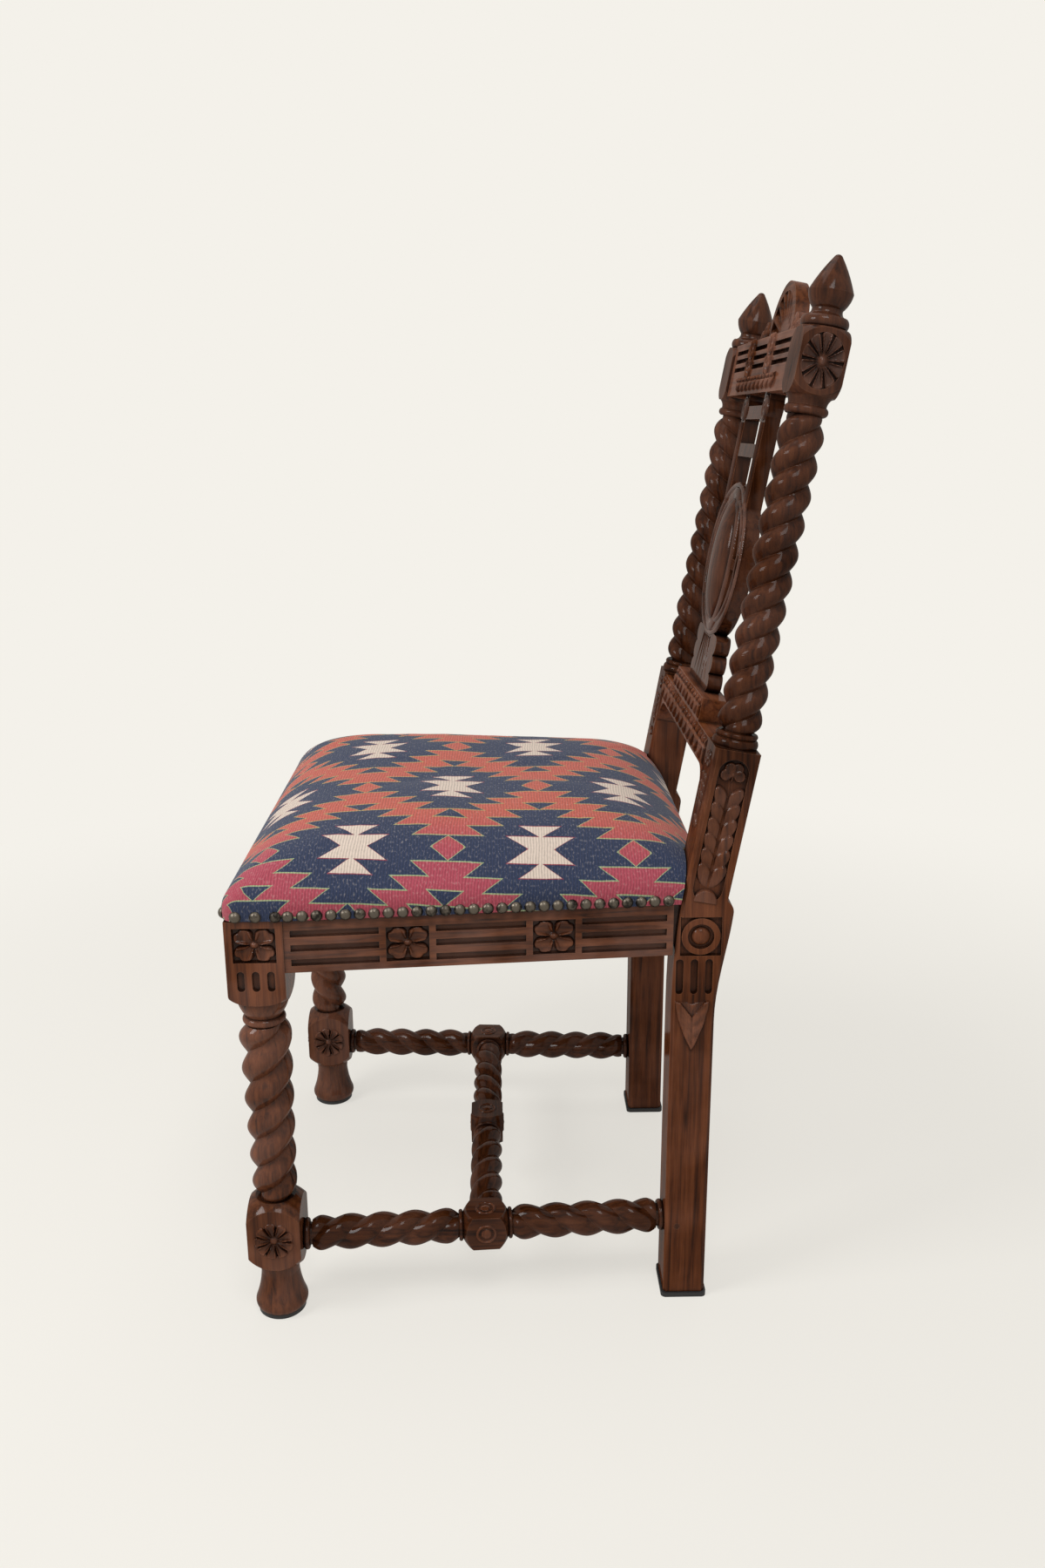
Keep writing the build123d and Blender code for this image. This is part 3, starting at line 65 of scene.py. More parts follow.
def middle(name):
    """The centre of a node's box."""
    low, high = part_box(name)
    return (low + high) / 2


LEGS_Y = (middle("foot_glide_front_left").y + middle("foot_glide_rear_left").y) / 2  # metres
# The frame's other places, in millimetres, with Y counted from the middle between the leg axes
FRONT_X = middle("foot_glide_front_left").x / MM
REAR_X = middle("foot_glide_rear_left").x / MM
FRONT_Y = (middle("foot_glide_front_left").y - LEGS_Y) / MM
REAR_Y = -FRONT_Y
BLOCK_FACE = 27.0  # from a front leg's axis to the faces of its top block
POST_FRONT = 21.0  # from a rear post's axis to its front
POST_SIDE = 23.0  # and to its side
SETBACK = 1.0  # the rails lie this far inside the legs' faces
SIDE_FRONT = FRONT_Y + BLOCK_FACE  # where the side rails leave the legs
SIDE_REAR = REAR_Y - POST_FRONT  # where they meet the posts
SIDE_SLOPE = (FRONT_X + BLOCK_FACE - REAR_X - POST_SIDE) / (SIDE_REAR - SIDE_FRONT)
BEND_HEIGHT = 388.0
RAKE = radians(10.07)
PANEL_END = 192.0  # up the rake from the bend to the post's collar
CREST_TOP = 562.0  # up the rake from the bend
LEAN = 15.0 / (CREST_TOP - PANEL_END)  # radians that the twist columns lean to each other
HALF_RAIL = 12.0  # half the thickness of the seat's rails
COVER_THICK = 2.0
SEAT_CORNER = 14.0


def at(x, y, z):
    """A place in metres from millimetres, with Y from the middle between the leg axes."""
    return Vector((x * MM, y * MM + LEGS_Y, z * MM))


def facing(origin, across, out):
    """The matrix of a face: X across it, Z out of it."""
    z_axis = Vector(out).normalized()
    x_axis = Vector(across).normalized()
    y_axis = z_axis.cross(x_axis)
    turn = Matrix((x_axis, y_axis, z_axis)).transposed().to_4x4()
    return Matrix.Translation(origin) @ turn


BACK = facing(at(0, REAR_Y, BEND_HEIGHT), (1, 0, 0), (0, -cos(RAKE), sin(RAKE)))


def on_back(x, up, forward):
    """The matrix of a patch on the raked back, in millimetres across, up the rake and forward."""
    return BACK @ Matrix.Translation(Vector((x, up, forward)) * MM)


def tint(name, description, code):
    """A colour setting from an sRGB hex colour."""
    return FloatVectorProperty(name=name, description=description, subtype="COLOR", default=linear(code))


def distance(name, description, size):
    """A length setting from millimetres."""
    return FloatProperty(
        name=name, description=description, subtype="DISTANCE", unit="LENGTH", default=size * MM
    )


def amount(name, description, value, unit="NONE"):
    """A setting that is never below zero."""
    return FloatProperty(name=name, description=description, unit=unit, default=value, min=0)


class ChairWood(bpy.types.PropertyGroup):
    """Colours and figure of the polished wood."""

    # the dark colour also paints the shade in the hollows
    dark: tint("Dark wood", "Colour of the pores and hollows", "#1E0F0A")
    body: tint("Body wood", "Main colour of the stained wood", "#5A2F18")
    light: tint("Light wood", "Colour of the paler streaks", "#724024")
    # paler edges: real wear with a painted highlight along them
    worn: tint("Worn edge", "Colour where the stain is rubbed off", "#A5755A")
    # painted sheen: this pale colour stands in for reflections of the room on the open faces
    haze: tint("Wax haze", "Colour of the old wax on the open faces", "#8C6C62")
    grain: distance("Grain width", "Width of one streak of the grain", 2.6)
    edge: distance("Edge", "Radius to which the edges are rubbed", 1.1)
    gloss: FloatProperty(
        name="Roughness", description="Roughness of the wood under its polish", subtype="FACTOR",
        default=0.27, min=0, max=1,
    )


class ChairSeat(bpy.types.PropertyGroup):
    """Sizes and colours of the stuffed seat and its flat-woven cover."""

    pressure: amount("Pressure", "How hard the stuffing presses the cover", 4.0)
    swell: distance("Swell", "The most that the stuffing may move the cover", 5)
    inset: distance("Crown inset", "Distance of the flat of the crown inside the edge", 110)
    lean: amount("Lean", "How far the old stuffing sinks for each length to the left", 0.055)
    repeat: distance("Repeat", "Distance between two medallions of a row", 176)
    step: distance("Step", "Height of one step of a medallion", 17.0)
    start: FloatVectorProperty(
        name="Start", description="Where a medallion is centred, towards the back and to the left", size=2,
        subtype="XYZ", unit="LENGTH", default=(-28 * MM, 52 * MM),
    )
    outline: distance("Outline", "Width of the yellow outline", 1.5)
    rib: distance("Rib", "Spacing of the weave's ribs", 2.8)
    navy: tint("Navy", "Colour of the medallions", "#25304C")
    coral: tint("Coral", "Colour of the ground on top", "#BA5B4C")
    crimson: tint("Crimson", "Colour of the ground at the side", "#A74555")
    cream: tint("Cream", "Colour of the medallions' centres", "#D5C4B6")
    ochre: tint("Ochre", "Colour of the outlines on top", "#AE9A62")
    sage: tint("Sage", "Colour of the outlines at the side", "#97A57C")


class ChairStage(bpy.types.PropertyGroup):
    """Camera, lights and floor."""

    lens: FloatProperty(
        name="Lens", description="Focal length on a 36 mm tall picture", subtype="DISTANCE_CAMERA",
        default=29.33,
    )
    pale: tint("Pale", "Colour of the floor and the backdrop", "#F4F1EA")
    room: amount("Room light", "Strength of the light from all sides", 0.3)
    key: amount("Key light", "Power of the light in front of the chair", 32.0, "POWER")
    fill: amount("Fill light", "Power of the light over the camera", 20.0, "POWER")
    top: amount("Top light", "Power of the light over the seat", 10.0, "POWER")


# Inputs 1 to 4 of a Map Range node are the span that it reads and the span that it gives. A Mix node's
# colours are its inputs 6 and 7, and the mixed colour is its output 2.
def node(tree, kind, links=None, **settings):
    """Add a node, set its properties, and link or set its inputs by name or number."""
    made = tree.nodes.new(kind)
    for key, value in settings.items():
        setattr(made, key, value)
    for key, value in (links or {}).items():
        if isinstance(value, bpy.types.Node):
            value = value.outputs[0]
        if isinstance(value, bpy.types.NodeSocket):
            tree.links.new(value, made.inputs[key])
        else:
            made.inputs[key].default_value = value
    return made


def blank_material(name):
    """A new node material with its output, and its tree."""
    material = bpy.data.materials.new(name)
    material.use_nodes = True
    tree = material.node_tree
    tree.nodes.clear()
    return material, tree, node(tree, "ShaderNodeOutputMaterial")


def finish_surface(tree, output, surface):
    """Link a surface to the material's output."""
    tree.links.new(surface.outputs[0], output.inputs["Surface"])


def colour(value):
    """A colour property as the four numbers of a colour socket."""
    return (*value, 1.0)


def set_stops(ramp, stops):
    """Give a colour ramp its colours, each at its place."""
    elements = ramp.color_ramp.elements
    elements.remove(elements[1])
    for count, (place, shade) in enumerate(stops.items()):
        element = elements.new(place) if count else elements[0]
        element.position = place
        element.color = colour(shade)


def polished_wood(name, grain_axis, finish):
    """Stained and wax-polished hardwood: straight streaks along the piece, dark pores, painted shade with
    dust in the hollows, edges paler with wear and a painted highlight, and a painted pale sheen.

    The tone goes from a low one to a high one over a span of heights: painted light and shade that changes
    with height.
    """
    wood = bpy.context.scene.chair_wood
    material, tree, output = blank_material(name)
    place = node(tree, "ShaderNodeTexCoord").outputs["Object"]
    streak_length = 26.0  # in widths of the grain
    cloud = 71.4 * MM  # size of a patch in the stain
    stretch = [1 / wood.grain] * 3
    stretch["xyz".index(grain_axis)] /= streak_length
    fibres = node(tree, "ShaderNodeVectorMath", {0: place, 1: stretch}, operation="MULTIPLY")
    streaks = node(
        tree, "ShaderNodeTexNoise", {"Vector": fibres, "Scale": 0.5, "Detail": 5.0, "Distortion": 0.6}
    )
    pores = node(tree, "ShaderNodeTexNoise", {"Vector": fibres, "Scale": 2.6, "Detail": 2.0})
    patches = node(tree, "ShaderNodeTexNoise", {"Vector": place, "Scale": 1 / cloud, "Detail": 3.0})
    tone = node(tree, "ShaderNodeValToRGB", {"Fac": streaks})
    set_stops(tone, {0.26: wood.dark, 0.46: wood.body, 0.68: wood.light})
    patch = node(tree, "ShaderNodeMapRange", {"Value": patches, 1: 0.35, 2: 0.7, 3: 0.74, 4: 1.2})
    # painted light and shade: the tone changes with height, darker higher up on most pieces and paler on the
    # front legs' top blocks
    height = node(tree, "ShaderNodeSeparateXYZ", {0: place}).outputs["Z"]
    height_light_and_shade = node(
        tree, "ShaderNodeMapRange",
        {"Value": height, 1: finish["start"], 2: finish["end"], 3: finish["low"], 4: finish["high"]},
        interpolation_type="SMOOTHSTEP",
    )
    depth = node(tree, "ShaderNodeMath", {0: patch, 1: height_light_and_shade}, operation="MULTIPLY")
    patched = node(tree, "ShaderNodeVectorMath", {0: tone, "Scale": depth}, operation="SCALE")
    pored = node(tree, "ShaderNodeMapRange", {"Value": pores, 1: 0.32, 2: 0.48, 3: 0.3, 4: 0.0})
    dark = node(tree, "ShaderNodeMix", {0: pored, 6: patched, 7: colour(wood.dark)}, data_type="RGBA")
    # painted shade darkens what lies deep in the carving, along with the wax and dust that sit there
    reach = 9 * MM
    bare = node(tree, "ShaderNodeAmbientOcclusion", {"Distance": reach}, samples=6).outputs["AO"]
    deep = node(tree, "ShaderNodeMapRange", {"Value": bare, 1: 0.45, 2: 0.92, 3: 0.96, 4: 0.0})
    shade_and_dust = node(
        tree, "ShaderNodeMix", {0: deep, 6: dark.outputs[2], 7: colour(wood.dark)}, data_type="RGBA"
    )
    # painted sheen: a pale reflection of the bright room, painted in patches on the open faces
    sheen_share = node(tree, "ShaderNodeMapRange", {"Value": patches, 1: 0.4, 2: 0.62, 3: 0.0, 4: finish["haze"]})
    clear = node(tree, "ShaderNodeMath", {0: sheen_share, 1: bare}, operation="MULTIPLY")
    sheen_painted = node(
        tree, "ShaderNodeMix", {0: clear, 6: shade_and_dust.outputs[2], 7: colour(wood.haze)}, data_type="RGBA"
    )
    # edges are found where a rounded normal leaves the true one, and are made paler: real wear with a painted
    # highlight
    rounded = node(tree, "ShaderNodeBevel", {"Radius": wood.edge * finish["edge"]}, samples=6)
    true = node(tree, "ShaderNodeNewGeometry").outputs["Normal"]
    meet = node(tree, "ShaderNodeVectorMath", {0: rounded, 1: true}, operation="DOT_PRODUCT").outputs["Value"]
    rub_and_highlight = node(tree, "ShaderNodeMapRange", {"Value": meet, 1: 0.99, 2: 0.86, 3: 0.0, 4: 0.55})
    broken = node(tree, "ShaderNodeMath", {0: rub_and_highlight, 1: patches}, operation="MULTIPLY")
    open_edge = node(tree, "ShaderNodeMath", {0: broken, 1: bare}, operation="MULTIPLY")
    worn = node(
        tree, "ShaderNodeMix", {0: open_edge, 6: sheen_painted.outputs[2], 7: colour(wood.worn)}, data_type="RGBA"
    )
    rough = node(
        tree, "ShaderNodeMapRange", {"Value": patches, 1: 0.3, 2: 0.7, 3: wood.gloss, 4: wood.gloss + 0.16}
    )
    bump = node(
        tree, "ShaderNodeBump",
        {"Height": pores, "Normal": rounded, "Strength": 0.12, "Distance": 0.6 * MM},
    )
    # the shine is the coat's alone, so that faces seen edge on stay dark
    surface = node(
        tree, "ShaderNodeBsdfPrincipled",
        {"Base Color": worn.outputs[2], "Roughness": rough, "Normal": bump, "IOR": 1.5,
         "Specular IOR Level": 0.0, "Coat Weight": finish["coat"], "Coat Roughness": 0.1, "Coat IOR": 1.5},
    )
    finish_surface(tree, output, surface)
    return material


def raw_softwood():
    """Sawn glue blocks of pale softwood, unfinished."""
    material, tree, output = blank_material("raw_softwood")
    place = node(tree, "ShaderNodeTexCoord").outputs["Object"]
    ring, streak = 3.3 * MM, 42 * MM  # width of a growth ring, and length of a streak
    stretch = (1 / ring, 1 / ring, 1 / streak)
    fibres = node(tree, "ShaderNodeVectorMath", {0: place, 1: stretch}, operation="MULTIPLY")
    streaks = node(tree, "ShaderNodeTexNoise", {"Vector": fibres, "Scale": 1.0, "Detail": 4.0})
    tone = node(tree, "ShaderNodeValToRGB", {"Fac": streaks})
    set_stops(tone, {0.0: linear("#6E4A2C"), 1.0: linear("#A67C4F")})
    bump = node(tree, "ShaderNodeBump", {"Height": streaks, "Strength": 0.25, "Distance": 0.5 * MM})
    surface = node(
        tree, "ShaderNodeBsdfPrincipled", {"Base Color": tone, "Roughness": 0.75, "Normal": bump, "IOR": 1.5}
    )
    finish_surface(tree, output, surface)
    return material


def antique_brass():
    """Pressed brass nail heads, blackened, with brighter spots at random."""
    material, tree, output = blank_material("antique_brass")
    place = node(tree, "ShaderNodeTexCoord").outputs["Object"]
    speck, reach = 3.85 * MM, 18.2 * MM  # size of a spot of tarnish, and of a run of like nails
    tarnish = node(tree, "ShaderNodeTexNoise", {"Vector": place, "Scale": 1 / speck, "Detail": 4.0})
    each = node(tree, "ShaderNodeTexNoise", {"Vector": place, "Scale": 1 / reach, "Detail": 0.0})
    spread = node(tree, "ShaderNodeMath", {0: tarnish, 1: each}, operation="ADD")
    tone = node(tree, "ShaderNodeValToRGB", {"Fac": spread})
    set_stops(tone, {0.72: linear("#2B2825"), 1.0: linear("#5E574E")})
    rough = node(tree, "ShaderNodeMapRange", {"Value": tarnish, 1: 0.3, 2: 0.7, 3: 0.3, 4: 0.48})
    bump = node(tree, "ShaderNodeBump", {"Height": tarnish, "Strength": 0.1, "Distance": 0.4 * MM})
    surface = node(
        tree, "ShaderNodeBsdfPrincipled",
        {"Base Color": tone, "Metallic": 1.0, "Roughness": rough, "Normal": bump},
    )
    finish_surface(tree, output, surface)
    return material


def dull_steel():
    """Zinc-dulled steel of the screws and the glides' nails."""
    material, tree, output = blank_material("dull_steel")
    place = node(tree, "ShaderNodeTexCoord").outputs["Object"]
    speck = 2.4 * MM  # size of a dull spot
    dull = node(tree, "ShaderNodeTexNoise", {"Vector": place, "Scale": 1 / speck, "Detail": 3.0})
    rough = node(tree, "ShaderNodeMapRange", {"Value": dull, 1: 0.3, 2: 0.7, 3: 0.35, 4: 0.55})
    tone = node(tree, "ShaderNodeValToRGB", {"Fac": dull})
    set_stops(tone, {0.0: linear("#6B6B68"), 1.0: linear("#9C9B96")})
    surface = node(
        tree, "ShaderNodeBsdfPrincipled", {"Base Color": tone, "Metallic": 1.0, "Roughness": rough}
    )
    finish_surface(tree, output, surface)
    return material


def black_rubber():
    """Moulded rubber of the glides, matte with a fine grit."""
    material, tree, output = blank_material("black_rubber")
    place = node(tree, "ShaderNodeTexCoord").outputs["Object"]
    grain = 1.1 * MM  # real grit is finer, but would not show
    grit = node(tree, "ShaderNodeTexNoise", {"Vector": place, "Scale": 1 / grain, "Detail": 2.0})
    tone = node(tree, "ShaderNodeValToRGB", {"Fac": grit})
    set_stops(tone, {0.0: linear("#0E0E0F"), 1.0: linear("#242325")})
    bump = node(tree, "ShaderNodeBump", {"Height": grit, "Strength": 0.2, "Distance": 0.3 * MM})
    surface = node(
        tree, "ShaderNodeBsdfPrincipled", {"Base Color": tone, "Roughness": 0.68, "Normal": bump, "IOR": 1.52}
    )
    finish_surface(tree, output, surface)
    return material


def jute(name, thread, pale, brown):
    """Plain-woven jute: threads over and under each other, with a hairy matte face."""
    material, tree, output = blank_material(name)
    place = node(tree, "ShaderNodeTexCoord").outputs["Object"]
    turns = node(tree, "ShaderNodeVectorMath", {0: place, "Scale": pi / thread}, operation="SCALE")
    parts = node(tree, "ShaderNodeSeparateXYZ", {0: turns})
    wave_x = node(tree, "ShaderNodeMath", {0: parts.outputs["X"]}, operation="SINE")
    wave_y = node(tree, "ShaderNodeMath", {0: parts.outputs["Y"]}, operation="SINE")
    weave = node(tree, "ShaderNodeMath", {0: wave_x, 1: wave_y}, operation="MULTIPLY")
    tuft = 1.67 * MM
    hair = node(tree, "ShaderNodeTexNoise", {"Vector": place, "Scale": 1 / tuft, "Detail": 4.0})
    mixed = node(tree, "ShaderNodeMath", {0: weave, 1: 0.3, 2: hair}, operation="MULTIPLY_ADD")
    tone = node(tree, "ShaderNodeValToRGB", {"Fac": mixed})
    set_stops(tone, {0.25: linear(brown), 0.8: linear(pale)})
    bump = node(tree, "ShaderNodeBump", {"Height": mixed, "Strength": 0.6, "Distance": 0.6 * MM})
    surface = node(
        tree, "ShaderNodeBsdfPrincipled",
        {"Base Color": tone, "Roughness": 0.92, "Normal": bump, "Sheen Weight": 0.25, "IOR": 1.45},
    )
    finish_surface(tree, output, surface)
    return material


def stepped_medallion():
    """A node group that tells if a point lies in a medallion built of steps with slanted ends."""
    group = bpy.data.node_groups.new("stepped_medallion", "ShaderNodeTree")
    for name in ("Across", "Rows", "Waist", "Step", "Tooth", "Count"):
        group.interface.new_socket(name, in_out="INPUT", socket_type="NodeSocketFloat")
    group.interface.new_socket("Inside", in_out="OUTPUT", socket_type="NodeSocketFloat")
    given = node(group, "NodeGroupInput").outputs
    row = node(group, "ShaderNodeMath", {0: given["Rows"]}, operation="FLOOR")
    part = node(group, "ShaderNodeMath", {0: given["Rows"]}, operation="FRACT")
    drawn = node(group, "ShaderNodeMath", {0: row, 1: given["Step"]}, operation="MULTIPLY")
    inner = node(group, "ShaderNodeMath", {0: given["Waist"], 1: drawn}, operation="SUBTRACT")
    width = node(group, "ShaderNodeMath", {0: part, 1: given["Tooth"], 2: inner}, operation="MULTIPLY_ADD")
    within = node(group, "ShaderNodeMath", {0: given["Across"], 1: width}, operation="LESS_THAN")
    below = node(group, "ShaderNodeMath", {0: given["Rows"], 1: given["Count"]}, operation="LESS_THAN")
    inside = node(group, "ShaderNodeMath", {0: within, 1: below}, operation="MULTIPLY")
    node(group, "NodeGroupOutput", {"Inside": inside})
    return group


def flat_woven_wool():
    """Slit-woven wool rug cloth: ribbed and matte, with stepped medallions in half-drop rows, outlined."""
    seat = bpy.context.scene.chair_seat
    material, tree, output = blank_material("flat_woven_wool")
    cloth = node(tree, "ShaderNodeUVMap", uv_map="cloth")
    # the weaver's lines wander by a few millimetres over each hand's breadth
    breadth = 62.5 * MM
    wander = node(tree, "ShaderNodeTexNoise", {"Vector": cloth, "Scale": 1 / breadth, "Detail": 2.0})
    centred = node(
        tree, "ShaderNodeVectorMath", {0: wander.outputs["Color"], 1: (0.5, 0.5, 0.5)}, operation="SUBTRACT"
    )
    most = (8 * MM, 5 * MM, 0.0)
    uneven = node(tree, "ShaderNodeVectorMath", {0: centred, 1: most, 2: cloth}, operation="MULTIPLY_ADD")
    placed = node(tree, "ShaderNodeVectorMath", {0: uneven, 1: (*seat.start, 0.0)}, operation="SUBTRACT")
    parts = node(tree, "ShaderNodeSeparateXYZ", {0: placed}).outputs
    half = seat.repeat / 2
    drop_rows = 8.0  # steps from one row of medallions to the next
    slant = 1.7  # an outline is this much wider along the row, where the steps' ends slant
    medallion = stepped_medallion()
    figures = {
        "navy": {"Waist": 0.81, "Step": 0.205, "Tooth": 0.185, "Count": 5.0},
        "cream": {"Waist": 0.145, "Step": 0.13, "Tooth": 0.215, "Count": 2.0},
    }
    outlines = {"navy": seat.outline, "cream": seat.outline * 0.7}
    masks = {}
    for drop in (0.0, 1.0):
        along = node(tree, "ShaderNodeMath", {0: parts["X"], 1: 1 / half, 2: drop}, operation="MULTIPLY_ADD")
        across = node(tree, "ShaderNodeMath", {0: along, 1: 1.0}, operation="PINGPONG")
        up = node(
            tree, "ShaderNodeMath", {0: parts["Y"], 1: 1 / seat.step, 2: drop_rows * drop},
            operation="MULTIPLY_ADD",
        )
        rows = node(tree, "ShaderNodeMath", {0: up, 1: drop_rows}, operation="PINGPONG")
        for figure, sizes in figures.items():
            for line in (0.0, outlines[figure]):
                nearer = node(
                    tree, "ShaderNodeMath", {0: across, 1: slant * line / half}, operation="SUBTRACT"
                )
                lower = node(tree, "ShaderNodeMath", {0: rows, 1: line / seat.step}, operation="SUBTRACT")
                held = node(tree, "ShaderNodeMath", {0: lower, 1: 0.0}, operation="MAXIMUM")
                mask = node(
                    tree, "ShaderNodeGroup", {"Across": nearer, "Rows": held, **sizes}, node_tree=medallion
                )
                masks.setdefault((figure, line > 0), []).append(mask)
    both = {
        key: node(tree, "ShaderNodeMath", {0: pair[0], 1: pair[1]}, operation="MAXIMUM")
        for key, pair in masks.items()
    }
    # the dye lots of ground and outline change across the cloth
    side = node(
        tree, "ShaderNodeMapRange", {"Value": parts["Y"], 1: 60 * MM, 2: 160 * MM, 3: 0.0, 4: 1.0},
        interpolation_type="SMOOTHSTEP",
    )
    ground = node(
        tree, "ShaderNodeMix", {0: side, 6: colour(seat.coral), 7: colour(seat.crimson)}, data_type="RGBA"
    )
    edging = node(
        tree, "ShaderNodeMix", {0: side, 6: colour(seat.ochre), 7: colour(seat.sage)}, data_type="RGBA"
    )
    figured = ground
    layers = {
        ("navy", True): edging.outputs[2],
        ("navy", False): colour(seat.navy),
        ("cream", True): colour(linear("#8E3445")),
        ("cream", False): colour(seat.cream),
    }
    for key, dye in layers.items():
        figured = node(tree, "ShaderNodeMix", {0: both[key], 6: figured.outputs[2], 7: dye}, data_type="RGBA")
    # ribs lie along the pattern's rows; the real pitch is nearer 1.5 mm, too fine to show in the picture
    count = node(tree, "ShaderNodeMath", {0: parts["X"], 1: 2 * pi / seat.rib}, operation="MULTIPLY")
    rib = node(tree, "ShaderNodeMath", {0: count}, operation="SINE")
    pitch = (1.6 / seat.rib, 0.7 / seat.rib, 0.0)
    threads = node(tree, "ShaderNodeVectorMath", {0: cloth, 1: pitch}, operation="MULTIPLY")
    fleck = node(tree, "ShaderNodeTexNoise", {"Vector": threads, "Scale": 1.0, "Detail": 3.0})
    height = node(tree, "ShaderNodeMath", {0: rib, 1: 0.28, 2: fleck}, operation="MULTIPLY_ADD")
    # the ribs and flecks scale the colour: painted shade in the grooves and painted highlight on the crests,
    # with the threads' own uneven tone
    shade = node(tree, "ShaderNodeMapRange", {"Value": height, 1: 0.1, 2: 0.9, 3: 0.74, 4: 1.2})
    ribbed = node(tree, "ShaderNodeVectorMath", {0: figured.outputs[2], "Scale": shade}, operation="SCALE")
    # undyed hairs show as pale flecks
    hairs = node(tree, "ShaderNodeMapRange", {"Value": fleck, 1: 0.55, 2: 0.75, 3: 0.0, 4: 0.36})
    undyed = colour(linear("#B8AFA6"))
    flecked = node(tree, "ShaderNodeMix", {0: hairs, 6: ribbed, 7: undyed}, data_type="RGBA")
    bump = node(tree, "ShaderNodeBump", {"Height": height, "Strength": 0.45, "Distance": 0.7 * MM})
    surface = node(
        tree, "ShaderNodeBsdfPrincipled",
        {"Base Color": flecked.outputs[2], "Roughness": 0.88, "Normal": bump, "Sheen Weight": 0.12,
         "IOR": 1.45},
    )
    finish_surface(tree, output, surface)
    return material


def give(obj, material):
    """Leave one material on an object."""
    obj.data.materials.clear()
    obj.data.materials.append(material)


def add_piece(name, mesh, material):
    """Link a mesh as a piece of the chair."""
    piece = bpy.data.objects.new(name, mesh)
    bpy.context.scene.collection.objects.link(piece)
    give(piece, material)
    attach(piece, "root")
    return piece


def shade_smooth(mesh, angle):
    """Smooth a mesh except over edges sharper than an angle."""
    mesh.polygons.foreach_set("use_smooth", [True] * len(mesh.polygons))
    mesh.set_sharp_from_angle(angle=radians(angle))


def bridge(shape, rings):
    """Join each ring of points to the next by a band of faces."""
    for lower, upper in zip(rings, rings[1:]):
        for i in range(len(lower)):
            j = (i + 1) % len(lower)
            shape.faces.new((lower[i], lower[j], upper[j], upper[i]))


def finished_mesh(name, shape):
    """Mesh data from a shape whose points and faces are done."""
    bmesh.ops.recalc_face_normals(shape, faces=shape.faces)
    data = bpy.data.meshes.new(name)
    shape.to_mesh(data)
    shape.free()
    return data


def kept(name, make, *facts):
    """A material by name, made once."""
    return bpy.data.materials.get(name) or make(*facts)


def wood_for(axis, finish):
    """The polished wood whose grain runs along an axis, with one of the finishes."""
    name = f"waxed_mahogany_{axis}_{finish}"
    return kept(name, polished_wood, name, axis, FINISHES[finish])


# tones below the start and above the end of a span of heights in metres (painted light and shade by height),
# share of the edges' radius, share of the painted pale sheen and weight of the polish
FINISHES = {
    "rail": {"low": 1.1, "high": 1.1, "start": 0.36, "end": 0.62, "edge": 1.0, "haze": 0.36, "coat": 0.3},
    "back": {"low": 1.25, "high": 0.95, "start": 0.6, "end": 0.8, "edge": 1.0, "haze": 0.3, "coat": 0.15},
    "leg": {"low": 0.95, "high": 1.3, "start": 0.33, "end": 0.37, "edge": 1.0, "haze": 0.22, "coat": 0.3},
    "turned": {"low": 0.62, "high": 0.55, "start": 0.36, "end": 0.62, "edge": 1.0, "haze": 0.1, "coat": 0.25},
    "post": {"low": 1.15, "high": 0.52, "start": 0.46, "end": 0.6, "edge": 1.0, "haze": 0.12, "coat": 0.15},
    "carved": {"low": 1.1, "high": 0.55, "start": 0.46, "end": 0.6, "edge": 0.3, "haze": 0.25, "coat": 0.3},
}
# the grain's axis and the finish of wooden pieces, by the start of their names
WOODS = {
    "side_stretcher": ("y", "turned"),
    "cross_stretcher": ("x", "turned"),
    "side_rail": ("y", "rail"),
    "front_rail": ("x", "rail"),
    "back_rail": ("x", "rail"),
    "crest_rail": ("x", "back"),
    "crest_pediment": ("x", "back"),
    "lower_back_rail": ("x", "back"),
    "front_leg": ("z", "leg"),
    "rear_post": ("z", "post"),
}
OTHER_WOOD = ("z", "turned")
# the other pieces' materials, each of which has the name of its function
PLAIN = {
    "corner_block": raw_softwood,
    "foot_glide": black_rubber,
    "corner_screws": dull_steel,
    "glide_nails": dull_steel,
    "upholstery_nails": antique_brass,
}


class CHAIR_OT_camera(bpy.types.Operator):
    """Stand the camera where the photograph was taken"""

    bl_idname = "chair.camera"
    bl_label = "Camera"

    def execute(self, context):
        # the place and the turns in radians were fitted to points of the chair in the photograph
        place = at(1325.45, 24.26, 864.51)
        yaw, pitch, roll = 0.016, 0.275, -0.005
        forward = Vector((-cos(yaw) * cos(pitch), sin(yaw) * cos(pitch), -sin(pitch)))
        level = Vector((sin(yaw), cos(yaw), 0))
        right = cos(roll) * level + sin(roll) * level.cross(forward)
        up = right.cross(forward)
        data = bpy.data.cameras.new("camera")
        data.lens = context.scene.chair_stage.lens
        camera = bpy.data.objects.new("camera", data)
        turned = Matrix((right, up, -forward)).transposed().to_4x4()
        camera.matrix_world = Matrix.Translation(place) @ turned
        context.scene.collection.objects.link(camera)
        context.scene.camera = camera
        return {"FINISHED"}


def seen_by_eye(tree):
    """One for rays from the camera, straight or by way of a gloss or glass, and zero for rays of light."""
    ray = node(tree, "ShaderNodeLightPath").outputs
    seen = ray["Is Camera Ray"]
    for kind in ("Is Glossy Ray", "Is Transmission Ray"):
        seen = node(tree, "ShaderNodeMath", {0: seen, 1: ray[kind]}, operation="MAXIMUM")
    return seen


